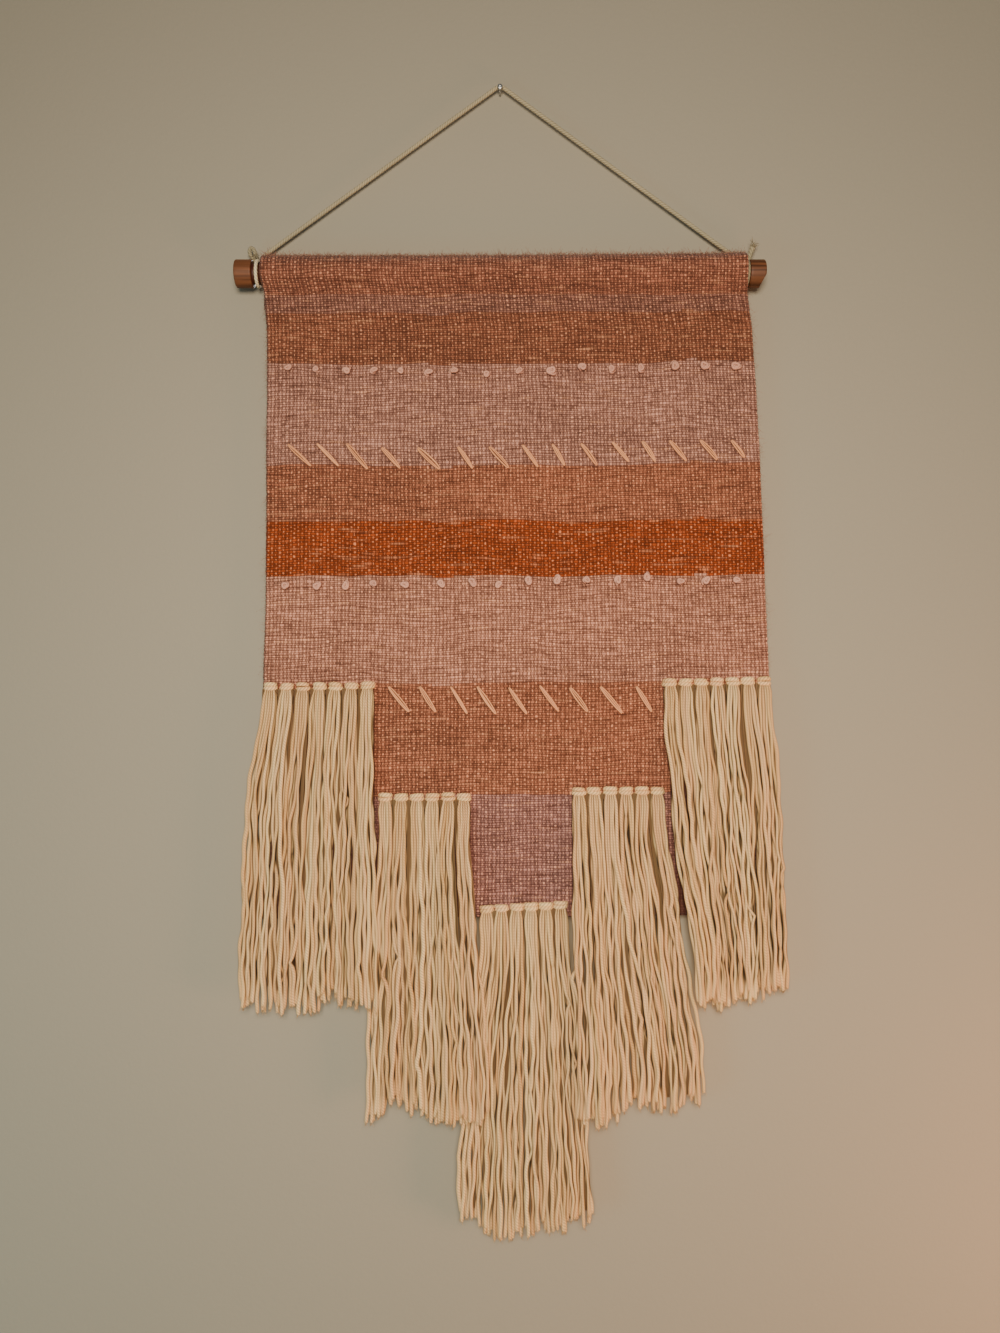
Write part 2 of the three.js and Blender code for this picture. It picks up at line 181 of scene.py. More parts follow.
def smooth_line(points: np.ndarray, count: int, soften: float) -> np.ndarray:
    """Carry a line of points to evenly spaced stations and round its corners.

    The points are joined straight, sampled by length, and averaged with a bell of the given width, while
    the two ends stay where they are.

    Args:
        points: corners of the line, count by 2 or 3.
        count: stations of the result.
        soften: half width of the bell in millimetres.

    Returns:
        The stations.
    """
    length = length_along(points)
    fine = np.linspace(0, length[-1], 4 * count)
    line = np.stack([np.interp(fine, length, axis) for axis in points.T], axis=1)
    step = length[-1] / (len(fine) - 1)
    reach = max(1, int(round(3 * soften / step)))
    bell = np.exp(-0.5 * (np.arange(-reach, reach + 1) * step / soften) ** 2)
    bell /= bell.sum()
    before = 2 * line[0] - line[reach:0:-1]
    behind = 2 * line[-1] - line[-2 : -reach - 2 : -1]
    padded = np.concatenate([before, line, behind])
    rounded = np.stack([np.convolve(axis, bell, mode="valid") for axis in padded.T], axis=1)
    wanted = np.linspace(0, 1, count)
    given = np.linspace(0, 1, len(rounded))
    return np.stack([np.interp(wanted, given, axis) for axis in rounded.T], axis=1)


# Surfaces


@dataclass
class Surface:
    """A mesh in millimetres: points, four-cornered and three-cornered faces, and a UV for each corner.

    Tone is a number of its own for each thread, and the last field is painted shade: on threads, how deep a
    point lies between its neighbours; on the cloth, the light that things in front of it keep off.
    """

    points: np.ndarray
    quads: np.ndarray
    quad_uv: np.ndarray
    tris: np.ndarray
    tri_uv: np.ndarray
    tone: np.ndarray | None = None
    crease: np.ndarray | None = None


def merged(surfaces: list[Surface]) -> Surface:
    """Join surfaces into one, with their corner numbers moved on.

    Args:
        surfaces: the surfaces, each with or without tones and painted shade.

    Returns:
        One surface that holds them all.
    """
    starts = np.cumsum([0] + [len(s.points) for s in surfaces])[:-1]
    tones = [s.tone if s.tone is not None else np.full(len(s.points), MIDDLE_TONE) for s in surfaces]
    creases = [s.crease if s.crease is not None else np.zeros(len(s.points)) for s in surfaces]
    return Surface(
        np.concatenate([s.points for s in surfaces]),
        np.concatenate([s.quads + start for s, start in zip(surfaces, starts)]),
        np.concatenate([s.quad_uv for s in surfaces]),
        np.concatenate([s.tris + start for s, start in zip(surfaces, starts)]),
        np.concatenate([s.tri_uv for s in surfaces]),
        np.concatenate(tones),
        np.concatenate(creases),
    )


def ring_quads(rings: int, sides: int) -> np.ndarray:
    """Number the four-cornered faces between neighbouring closed rings.

    Args:
        rings: how many rings there are, numbered one after the other.
        sides: corners of a ring.

    Returns:
        For each face a ring's corner, its next corner, and the same two on the next ring, in turn.
    """
    ring = np.arange(rings - 1)[:, None] * sides
    side = np.arange(sides)[None, :]
    after = (side + 1) % sides
    faces = [ring + side, ring + after, ring + sides + after, ring + sides + side]
    return np.stack(faces, axis=-1).reshape(-1, 4)


def sweep(
    paths: np.ndarray,
    radii: np.ndarray,
    sides: int,
    across: Triple,
    tone: np.ndarray | None = None,
    plies: float = 0.0,
    twist: float = 12.0,
    edge_shade: float = 0.0,
) -> Surface:
    """Round bodies along many centre lines at once, with both ends closed.

    Each ring stands square to its line: first = tangent x across, second = tangent x first, and a corner
    is centre + radius * (cos(a) * first + sin(a) * second). Plies change the radius by
    plies * cos(3 * (a - turns)), where turns grow by one for each twist length.

    Args:
        paths: centre lines, lines by stations by 3.
        radii: lines by stations.
        sides: corners of a ring.
        across: a direction that no line runs along.
        tone: one number for each line, kept for the material.
        plies: how far the three plies stand out, as a share of the radius.
        twist: length of one turn of the plies.
        edge_shade: painted shade at the two sides, where threads lie against each other; it falls off as
            cos(a)^2.

    Returns:
        The surface, with U once round and V the length along the line.
    """
    lines, stations = radii.shape
    tangent = unit(np.gradient(paths, axis=1))
    first = unit(np.cross(tangent, np.asarray(across, float)))
    second = np.cross(tangent, first)
    steps = np.linalg.norm(np.diff(paths, axis=1), axis=2)
    length = np.concatenate([np.zeros((lines, 1)), np.cumsum(steps, axis=1)], axis=1)
    angle = TURN * np.arange(sides) / sides
    bulge = 1 + plies * np.cos(3 * (angle - TURN * length[..., None] / twist))
    reach = (radii[..., None] * bulge)[..., None]
    rings = paths[:, :, None] + reach * (
        np.cos(angle)[None, None, :, None] * first[:, :, None]
        + np.sin(angle)[None, None, :, None] * second[:, :, None]
    )
    start_tip = paths[:, 0] - tangent[:, 0] * radii[:, :1] * CAP_RISE
    end_tip = paths[:, -1] + tangent[:, -1] * radii[:, -1:] * CAP_RISE
    points = np.concatenate([rings.reshape(lines, -1, 3), np.stack([start_tip, end_tip], axis=1)], axis=1)
    per_line = points.shape[1]
    side = np.arange(sides)
    after = (side + 1) % sides
    u = np.stack([side, side + 1, side + 1, side], axis=-1) / sides
    u = np.broadcast_to(u, (stations - 1, sides, 4)).reshape(-1, 4)
    row = np.arange(stations - 1)[:, None] + np.array([0, 0, 1, 1])
    v = np.repeat(length[:, row], sides, axis=1).reshape(lines, -1, 4)
    last = (stations - 1) * sides
    start_cap = np.stack([np.full(sides, per_line - 2), after, side], axis=-1)
    end_cap = np.stack([np.full(sides, per_line - 1), last + side, last + after], axis=-1)
    offset = (np.arange(lines) * per_line)[:, None, None]
    uv = np.stack([np.broadcast_to(u, v.shape), v], axis=-1)
    cap_uv = np.zeros((lines, 2 * sides, 3, 2))
    cap_uv[:, sides:, :, 1] = length[:, -1, None, None]
    tones = np.full(lines, MIDDLE_TONE) if tone is None else tone
    shade = np.concatenate([np.tile(edge_shade * np.cos(angle) ** 2, stations), [0.0, 0.0]])
    return Surface(
        points.reshape(-1, 3),
        (ring_quads(stations, sides)[None] + offset).reshape(-1, 4),
        uv.reshape(-1, 4, 2),
        (np.concatenate([start_cap, end_cap])[None] + offset).reshape(-1, 3),
        cap_uv.reshape(-1, 3, 2),
        np.repeat(tones, per_line),
        np.tile(shade, lines),
    )


def turned(profile: np.ndarray, sides: int) -> Surface:
    """A solid of revolution round the X axis.

    Each profile point (radius, x) becomes a ring of corners (x, radius * cos(a), radius * sin(a)), and
    the two ends close on the axis.

    Args:
        profile: rows of radius and x, from end to end.
        sides: corners of a ring.

    Returns:
        The surface, with U once round and V along the axis.
    """
    count = len(profile)
    angle = TURN * np.arange(sides) / sides
    radius, x = profile[:, 0:1], profile[:, 1:2]
    corners = [np.broadcast_to(x, (count, sides)), radius * np.cos(angle), radius * np.sin(angle)]
    rings = np.stack(corners, axis=-1)
    centres = np.array([[profile[0, 1], 0, 0], [profile[-1, 1], 0, 0]])
    points = np.concatenate([rings.reshape(-1, 3), centres])
    side = np.arange(sides)
    after = (side + 1) % sides
    u = np.stack([side, side, side + 1, side + 1], axis=-1) / sides
    u = np.broadcast_to(u, (count - 1, sides, 4))
    stations = np.arange(count - 1)[:, None] + np.array([0, 1, 1, 0])
    along = np.broadcast_to(profile[:, 1][stations][:, None], u.shape)
    last = (count - 1) * sides
    low_cap = np.stack([np.full(sides, count * sides), side, after], axis=-1)
    high_cap = np.stack([np.full(sides, count * sides + 1), last + after, last + side], axis=-1)
    tris = np.concatenate([low_cap, high_cap])
    return Surface(
        points,
        ring_quads(count, sides)[:, [0, 3, 2, 1]],
        np.stack([u, along], axis=-1).reshape(-1, 4, 2),
        tris,
        np.zeros((len(tris), 3, 2)),
    )


def make_piece(name: str, surface: Surface, material: bpy.types.Material, slot: Slot) -> bpy.types.Object:
    """Put a surface into a mesh object that rides on the body.

    Args:
        name: name of the piece.
        surface: its points and faces in millimetres.
        material: its finish.
        slot: not used.

    Returns:
        The linked object, at the origin, with its place in its mesh.
    """
    mesh = bpy.data.meshes.new(name)
    quads, tris = surface.quads, surface.tris
    corners = np.concatenate([quads.ravel(), tris.ravel()]).astype(np.int32)
    totals = np.concatenate([np.full(len(quads), 4), np.full(len(tris), 3)]).astype(np.int32)
    starts = np.concatenate([[0], np.cumsum(totals)[:-1]]).astype(np.int32)
    mesh.vertices.add(len(surface.points))
    mesh.loops.add(len(corners))
    mesh.polygons.add(len(totals))
    mesh.vertices.foreach_set("co", (surface.points * MM).astype(np.float32).ravel())
    mesh.loops.foreach_set("vertex_index", corners)
    mesh.polygons.foreach_set("loop_start", starts)
    mesh.polygons.foreach_set("loop_total", totals)
    mesh.polygons.foreach_set("use_smooth", np.ones(len(totals), bool))
    layer = mesh.uv_layers.new(name="threads")
    uv = np.concatenate([surface.quad_uv.reshape(-1, 2), surface.tri_uv.reshape(-1, 2)])
    layer.data.foreach_set("uv", uv.astype(np.float32).ravel())
    # Tone and painted shade go to the materials as point attributes
    for key, numbers in (("tone", surface.tone), ("crease", surface.crease)):
        if numbers is not None:
            mesh.attributes.new(key, "FLOAT", "POINT").data.foreach_set("value", numbers.astype(np.float32))
    mesh.update(calc_edges=True)
    mesh.validate()
    mesh.materials.append(material)
    piece = bpy.data.objects.new(name, mesh)
    bpy.context.scene.collection.objects.link(piece)
    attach(piece, BODY)
    LOG.info("%s: %d faces", name, len(totals))
    return piece


# Materials


def add_node(
    tree: bpy.types.NodeTree, kind: Kind, inputs: dict[int | str, object] | None = None, **settings: str
) -> bpy.types.Node:
    """Add one node with its settings, values and links.

    Args:
        tree: the material's node tree.
        kind: the node's kind.
        inputs: input name or number to a value, to the output socket that feeds it, or to a node whose
            first output feeds it.
        settings: properties of the node itself.

    Returns:
        The new node.
    """
    node = tree.nodes.new(kind.value)
    for key, value in settings.items():
        setattr(node, key, value)
    for key, value in (inputs or {}).items():
        feed = value.outputs[0] if isinstance(value, bpy.types.Node) else value
        if isinstance(feed, bpy.types.NodeSocket):
            tree.links.new(feed, node.inputs[key])
        else:
            node.inputs[key].default_value = feed
    return node


def new_material(name: str) -> tuple[bpy.types.Material, bpy.types.NodeTree]:
    """Make an empty node material.

    Args:
        name: the material's name.

    Returns:
        The material and its node tree.
    """
    material = bpy.data.materials.new(name)
    material.use_nodes = True
    material.node_tree.nodes.clear()
    return material, material.node_tree


@dataclass(frozen=True)
class Band:
    """A stripe of one weft: it starts at this many millimetres above the lower edge."""

    start: float
    colour: str


@dataclass(frozen=True)
class PlainWovenWool:
    """Wool in plain weave, woven by hand and left unpressed.

    Undyed warp ends stand in upright ribs and show as small pale dots between dyed picks, which gives the
    eye a grain of light dots and dark pits in each stripe; the pits' darkness is painted shade. The UV map
    counts threads: 1 in U is one end, 3.4 mm, and 1 in V is one pick, 2.1 mm, so that each noise scale below
    is in threads.
    """

    name: str = "plain_woven_wool"
    bands: tuple[Band, ...] = (
        Band(0.0, "#90655C"),
        Band(110.6, "#955C44"),
        Band(210.4, "#AA7560"),
        Band(307.9, "#8B3C17"),
        Band(359.4, "#935941"),
        Band(410.9, "#9F7161"),
        Band(507.8, "#7E4C37"),
        Band(556.8, "#805648"),
        Band(572.6, "#875441"),
    )
    warp_colour: str = "#DE9C74"
    # Colour of the painted shade in pits, behind the yarns and round the sewing, and of burr specks
    shade_and_burr_colour: str = "#3A1A10"
    flat_length: float = 694.0
    roughness: float = 0.95
    specular: float = 0.12
    sheen: float = 0.08
    relief: float = 0.6
    # How far an end sways to each side, and how far broad areas of picks rise and fall, in threads
    wander: float = 0.5
    sag: float = 2.2
    # A warp float is an oval: 1 over its half width and half height in threads
    oval: Triple = (3.3, 1.7, 0.0)
    # Height of a weft float, and how much lower it lies under a warp end
    weft_height: float = 0.82
    weft_sink: float = -0.4
    # Light of the weft from streak to streak, from patch to patch and from crossing to crossing
    streak_light: Pair = (0.76, 1.28)
    patch_light: Pair = (0.86, 1.14)
    crossing_light: Pair = (0.72, 1.36)
    # How pale a warp float shows, and how far a slub pales the weft
    float_pale: Pair = (0.2, 1.0)
    slub_pale: float = 0.4
    # Painted reflection: the undyed warp dots take on the weft's colour, brightened, for light that the
    # neighbouring picks reflect on them
    weft_reflection: float = 0.5
    weft_reflection_light: float = 2.3
    # Painted shade in the pits, darkness of burrs, and painted shade on the cloth behind the hanging yarns
    # and round the sewing
    pit_depth: float = 0.66
    pit_shade: float = 0.88
    burr_share: float = 0.03
    burr_dark: float = 0.6
    cover_shade: float = 0.82

    def threads(self, tree: bpy.types.NodeTree, uv: bpy.types.NodeSocket) -> bpy.types.Node:
        """Thread coordinates that wander.

        Each end sways along its length, each pick along its own, and broad areas of picks rise and fall.

        Args:
            tree: the material's node tree.
            uv: the cloth's thread coordinates.

        Returns:
            The node that gives the moved coordinates.
        """
        ends = add_node(tree, Kind.VECTOR_MATH, {0: uv, 1: (0.9, 0.1, 0.0)}, operation="MULTIPLY")
        picks = add_node(tree, Kind.VECTOR_MATH, {0: uv, 1: (0.1, 0.8, 0.0)}, operation="MULTIPLY")
        end_way = add_node(tree, Kind.NOISE, {"Vector": ends, "Scale": 1.0, "Detail": 1.0})
        pick_way = add_node(tree, Kind.NOISE, {"Vector": picks, "Scale": 1.0, "Detail": 1.0})
        # One broad area is about 33 threads, 110 mm across and 70 mm high
        broad = add_node(tree, Kind.NOISE, {"Vector": uv, "Scale": 0.03, "Detail": 2.0})
        sag = add_node(tree, Kind.MATH, {0: broad, 1: 2 * self.sag, 2: -self.sag}, operation="MULTIPLY_ADD")
        across = {0: end_way, 1: 2 * self.wander, 2: -self.wander}
        over = add_node(tree, Kind.MATH, across, operation="MULTIPLY_ADD")
        rise = add_node(tree, Kind.MATH, {0: pick_way, 1: 3 * self.wander, 2: sag}, operation="MULTIPLY_ADD")
        push = add_node(tree, Kind.TO_VECTOR, {0: over, 1: rise})
        return add_node(tree, Kind.VECTOR_MATH, {0: uv, 1: push}, operation="ADD")

    def crossings(
        self, tree: bpy.types.NodeTree, bent: bpy.types.Node
    ) -> tuple[bpy.types.Node, bpy.types.NodeSocket, bpy.types.Node, bpy.types.Node]:
        """The weave itself, one cell for each crossing of an end and a pick.

        Args:
            tree: the material's node tree.
            bent: the thread coordinates.

        Returns:
            The crossing's cell, its pick number, how much of a warp float shows, and the relief's height.
        """
        cell = add_node(tree, Kind.VECTOR_MATH, {0: bent}, operation="FLOOR")
        part = add_node(tree, Kind.VECTOR_MATH, {0: bent}, operation="FRACTION")
        centred = add_node(tree, Kind.VECTOR_MATH, {0: part, 1: (0.5, 0.5, 0.0)}, operation="SUBTRACT")
        away = add_node(tree, Kind.VECTOR_MATH, {0: centred}, operation="ABSOLUTE")
        cell_at = add_node(tree, Kind.VECTOR_PARTS, {0: cell})
        aside = add_node(tree, Kind.VECTOR_PARTS, {0: away})
        end, pick = cell_at.outputs["X"], cell_at.outputs["Y"]
        count = add_node(tree, Kind.MATH, {0: end, 1: pick}, operation="ADD")
        warp_over = add_node(tree, Kind.MATH, {0: count, 1: 2.0}, operation="FLOORED_MODULO")
        # A warp float is an upright oval, narrower than its pitch and one pick high
        oval = add_node(tree, Kind.VECTOR_MATH, {0: centred, 1: self.oval}, operation="MULTIPLY")
        reach = add_node(tree, Kind.VECTOR_MATH, {0: oval}, operation="LENGTH").outputs["Value"]
        falling = {"Value": reach, "From Min": 1.1, "From Max": 0.3, "To Min": 0.0, "To Max": 1.0}
        round_off = add_node(tree, Kind.RANGE, falling, interpolation_type="SMOOTHSTEP")
        dot = add_node(tree, Kind.MATH, {0: round_off, 1: warp_over}, operation="MULTIPLY")
        # A weft float bulges over an end, dips between ends and sinks where the warp end passes over it
        end_round = add_node(
            tree, Kind.RANGE, {"Value": aside.outputs["X"], "From Min": 0.68, "From Max": 0.2}
        )
        pick_round = add_node(
            tree, Kind.RANGE, {"Value": aside.outputs["Y"], "From Min": 0.52, "From Max": 0.1}
        )
        sinking = {0: warp_over, 1: self.weft_sink, 2: self.weft_height}
        sink = add_node(tree, Kind.MATH, sinking, operation="MULTIPLY_ADD")
        crown = add_node(tree, Kind.MATH, {0: pick_round, 1: end_round}, operation="MULTIPLY")
        weft = add_node(tree, Kind.MATH, {0: crown, 1: sink}, operation="MULTIPLY")
        height = add_node(tree, Kind.MATH, {0: weft, 1: dot}, operation="MAXIMUM")
        return cell, pick, dot, height

    def stripes(
        self, tree: bpy.types.NodeTree, cell: bpy.types.Node, pick: bpy.types.NodeSocket
    ) -> bpy.types.Node:
        """The weft's colour, in bands whose edges jog by a pick where one weft ends and the next begins.

        Args:
            tree: the material's node tree.
            cell: the crossing's cell.
            pick: the crossing's pick number.

        Returns:
            The node that gives the stripe's colour.
        """
        wide = add_node(tree, Kind.VECTOR_MATH, {0: cell, 1: (0.03, 0.0, 0.0)}, operation="MULTIPLY")
        jog = add_node(tree, Kind.NOISE, {"Vector": wide, "Scale": 1.0, "Detail": 1.0})
        jog_picks = add_node(tree, Kind.MATH, {0: jog, 1: 6.0, 2: -3.0}, operation="MULTIPLY_ADD")
        whole = add_node(tree, Kind.MATH, {0: jog_picks}, operation="ROUND")
        moved = add_node(tree, Kind.MATH, {0: pick, 1: whole}, operation="ADD")
        pick_share = PICK_PITCH / self.flat_length
        share = add_node(tree, Kind.MATH, {0: moved, 1: pick_share}, operation="MULTIPLY")
        ramp = add_node(tree, Kind.RAMP, {"Fac": share})
        stops = ramp.color_ramp
        stops.interpolation = "CONSTANT"
        while len(stops.elements) < len(self.bands):
            stops.elements.new(1.0)
        for stop, band in zip(stops.elements, self.bands):
            stop.position = band.start / self.flat_length
            stop.color = linear(band.colour)
        return ramp

    def heathered(
        self, tree: bpy.types.NodeTree, uv: bpy.types.NodeSocket, cell: bpy.types.Node, dyed: bpy.types.Node
    ) -> bpy.types.Node:
        """The weft as it was spun and dyed: uneven from pick to pick and from place to place.

        Args:
            tree: the material's node tree.
            uv: the cloth's thread coordinates.
            cell: the crossing's cell.
            dyed: the stripe's colour.

        Returns:
            The node that gives the weft's colour.
        """
        # Each pick has its own strength, which drifts along it over some 11 ends
        long_way = add_node(tree, Kind.VECTOR_MATH, {0: uv, 1: (0.09, 0.0, 0.0)}, operation="MULTIPLY")
        own_pick = add_node(tree, Kind.VECTOR_MATH, {0: cell, 1: (0.0, 1.37, 0.0)}, operation="MULTIPLY")
        streak_at = add_node(tree, Kind.VECTOR_MATH, {0: long_way, 1: own_pick}, operation="ADD")
        streak = add_node(tree, Kind.NOISE, {"Vector": streak_at, "Scale": 1.0, "Detail": 3.0})
        dark, light = self.streak_light
        strength = add_node(
            tree,
            Kind.RANGE,
            {"Value": streak, "From Min": 0.25, "From Max": 0.75, "To Min": dark, "To Max": light},
        )
        # One patch is about 29 threads, 97 mm across and 60 mm high
        broad = add_node(tree, Kind.NOISE, {"Vector": uv, "Scale": 0.035, "Detail": 2.0})
        dark, light = self.patch_light
        patch = add_node(
            tree,
            Kind.RANGE,
            {"Value": broad, "From Min": 0.3, "From Max": 0.7, "To Min": dark, "To Max": light},
        )
        level = add_node(tree, Kind.MATH, {0: strength, 1: patch}, operation="MULTIPLY")
        heather = add_node(tree, Kind.VECTOR_MATH, {0: dyed, "Scale": level}, operation="SCALE")
        # Slubs: a few picks run pale for some centimetres, where undyed fibre was spun in
        slub_at = add_node(tree, Kind.VECTOR_MATH, {0: streak_at, 1: (1.3, 2.7, 1.0)}, operation="MULTIPLY")
        slub_noise = add_node(tree, Kind.NOISE, {"Vector": slub_at, "Scale": 1.15, "Detail": 0.0})
        paling = {"Value": slub_noise, "From Min": 0.64, "From Max": 0.84, "To Max": self.slub_pale}
        slub = add_node(tree, Kind.RANGE, paling)
        mixed = {"Fac": slub, "Color1": heather, "Color2": linear(self.warp_colour)}
        return add_node(tree, Kind.LAY_OVER, mixed)

    def build(self) -> bpy.types.Material:
        """Make the material from the cloth's own thread coordinates.

        Returns:
            The material.
        """
        material, tree = new_material(self.name)
        warp, shade_and_burr_black = linear(self.warp_colour), linear(self.shade_and_burr_colour)
        uv = add_node(tree, Kind.COORDINATES).outputs["UV"]
        cell, pick, dot, height = self.crossings(tree, self.threads(tree, uv))
        dyed = self.stripes(tree, cell, pick)
        weft = self.heathered(tree, uv, cell, dyed)
        # Each crossing has its own light, and each warp float shows more or less of its undyed wool
        chance = add_node(tree, Kind.WHITE_NOISE, {"Vector": cell}, noise_dimensions="2D").outputs["Color"]
        own = add_node(tree, Kind.COLOUR_PARTS, {"Color": chance}).outputs
        low, high = self.crossing_light
        cell_light = add_node(tree, Kind.RANGE, {"Value": own["Green"], "To Min": low, "To Max": high})
        uneven = add_node(tree, Kind.VECTOR_MATH, {0: weft, "Scale": cell_light}, operation="SCALE")
        low, high = self.float_pale
        cell_pale = add_node(tree, Kind.RANGE, {"Value": own["Red"], "To Min": low, "To Max": high})
        show = add_node(tree, Kind.MATH, {0: dot, 1: cell_pale}, operation="MULTIPLY")
        # Painted reflection of the weft's colour on the warp dots
        bright = add_node(tree, Kind.VECTOR_MATH, {0: dyed, "Scale": self.weft_reflection_light}, operation="SCALE")
        reflecting_warp = add_node(tree, Kind.LAY_OVER, {"Fac": self.weft_reflection, "Color1": bright, "Color2": warp})
        dotted = add_node(tree, Kind.LAY_OVER, {"Fac": show, "Color1": uneven, "Color2": reflecting_warp})
        # Painted shade darkens the pits between the threads, and now and then a burr makes a dark speck
        deepening = {"Value": height, "From Min": self.pit_depth, "From Max": 0.0, "To Max": self.pit_shade}
        pit = add_node(tree, Kind.RANGE, deepening)
        speck = {"Value": own["Blue"], "From Min": self.burr_share, "From Max": 0.0, "To Max": self.burr_dark}
        burr = add_node(tree, Kind.RANGE, speck)
        dark = add_node(tree, Kind.MATH, {0: pit, 1: burr}, operation="MAXIMUM")
        pitted = add_node(tree, Kind.LAY_OVER, {"Fac": dark, "Color1": dotted, "Color2": shade_and_burr_black})
        # Painted shade where little light reaches the cloth: behind the hanging yarns, and painted shadows
        # under the knots and beside the stitches
        covered = add_node(tree, Kind.ATTRIBUTE, attribute_name="crease").outputs["Fac"]
        lost = add_node(tree, Kind.MATH, {0: covered, 1: self.cover_shade}, operation="MULTIPLY")
        final = add_node(tree, Kind.LAY_OVER, {"Fac": lost, "Color1": pitted, "Color2": shade_and_burr_black})
        # Fibre of a fifth of a thread, 0.6 mm: real wool is far finer, and would not show
        fibre = add_node(tree, Kind.NOISE, {"Vector": uv, "Scale": 5.0, "Detail": 2.0})
        rough = add_node(tree, Kind.MATH, {0: fibre, 1: 0.25, 2: height}, operation="MULTIPLY_ADD")
        bump = add_node(tree, Kind.BUMP, {"Height": rough, "Distance": self.relief * MM})
        finish = {
            "Base Color": final,
            "Roughness": self.roughness,
            "Normal": bump,
            "Specular IOR Level": self.specular,
            "Sheen Weight": self.sheen,
        }
        add_node(tree, Kind.OUTPUT, {"Surface": add_node(tree, Kind.PRINCIPLED, finish)})
        return material


@dataclass(frozen=True)
class PliedYarn:
    """Plied wool or cotton, spun soft and set by steam.

    To the eye it is matt, with faint slanted grooves between its plies, a colour that differs a little
    from thread to thread, and painted shade in the grooves and where threads press together.
    """

    name: str
    pale: str
    deep: str
    # Colour of the painted shade in the grooves between plies and where threads press together
    shade_colour: str
    blush: str
    ply_length: float
    relief: float
    # Strength of the painted shade between plies
    ply_shade: float
    blush_share: float = 0.5
    roughness: float = 0.92
    specular: float = 0.15
    sheen: float = 0.04
    # Cells in a metre: fibre of 1.1 mm, drawn much coarser than the real one so that it shows
    fibre_scale: float = 900.0
    # Cells in a metre: each 36 mm of a yarn has its own depth of colour
    depth_scale: float = 28.0

    def build(self) -> bpy.types.Material:
        """Make the material from U once round and V along the yarn in millimetres.

        Returns:
            The material.
        """
        material, tree = new_material(self.name)
        coords = add_node(tree, Kind.COORDINATES)
        place = coords.outputs["Object"]
        at = add_node(tree, Kind.VECTOR_PARTS, {0: coords.outputs["UV"]})
        slant = {0: at.outputs["Y"], 1: 1.0 / self.ply_length, 2: at.outputs["X"]}
        turns = add_node(tree, Kind.MATH, slant, operation="MULTIPLY_ADD")
        angle = add_node(tree, Kind.MATH, {0: turns, 1: 3 * TURN}, operation="MULTIPLY")
        wave = add_node(tree, Kind.MATH, {0: angle}, operation="COSINE")
        rounding = {"Value": wave, "From Min": -1.0, "From Max": 0.3}
        crown = add_node(tree, Kind.RANGE, rounding, interpolation_type="SMOOTHSTEP")
        fibre = add_node(tree, Kind.NOISE, {"Vector": place, "Scale": self.fibre_scale, "Detail": 2.0})
        broad = add_node(tree, Kind.NOISE, {"Vector": place, "Scale": self.depth_scale, "Detail": 2.0})
        tone = add_node(tree, Kind.ATTRIBUTE, attribute_name="tone").outputs["Fac"]
        mixed = add_node(tree, Kind.MATH, {0: broad, 1: 0.5, 2: tone}, operation="MULTIPLY_ADD")
        strength = add_node(tree, Kind.RANGE, {"Value": mixed, "From Min": 0.15, "From Max": 1.3})
        dyed = {"Fac": strength, "Color1": linear(self.deep), "Color2": linear(self.pale)}
        colour = add_node(tree, Kind.LAY_OVER, dyed)
        own = add_node(tree, Kind.WHITE_NOISE, {"W": tone}, noise_dimensions="1D").outputs["Value"]
        warm = add_node(tree, Kind.MATH, {0: own, 1: self.blush_share}, operation="MULTIPLY")
        blushed = {"Fac": warm, "Color1": colour, "Color2": linear(self.blush)}
        tinted = add_node(tree, Kind.LAY_OVER, blushed)
        # Painted shade between plies and between neighbours, where the light is lost in fibre
        ply_shade = add_node(tree, Kind.RANGE, {"Value": crown, "To Min": self.ply_shade, "To Max": 0.0})
        crease = add_node(tree, Kind.ATTRIBUTE, attribute_name="crease").outputs["Fac"]
        dark = add_node(tree, Kind.MATH, {0: ply_shade, 1: crease}, operation="MAXIMUM")
        shaded = {"Fac": dark, "Color1": tinted, "Color2": linear(self.shade_colour)}
        with_painted_shade = add_node(tree, Kind.LAY_OVER, shaded)
        height = add_node(tree, Kind.MATH, {0: fibre, 1: 0.35, 2: crown}, operation="MULTIPLY_ADD")
        bump = add_node(tree, Kind.BUMP, {"Height": height, "Distance": self.relief * MM})
        finish = {
            "Base Color": with_painted_shade,
            "Roughness": self.roughness,
            "Normal": bump,
            "Specular IOR Level": self.specular,
            "Sheen Weight": self.sheen,
        }
        add_node(tree, Kind.OUTPUT, {"Surface": add_node(tree, Kind.PRINCIPLED, finish)})
        return material


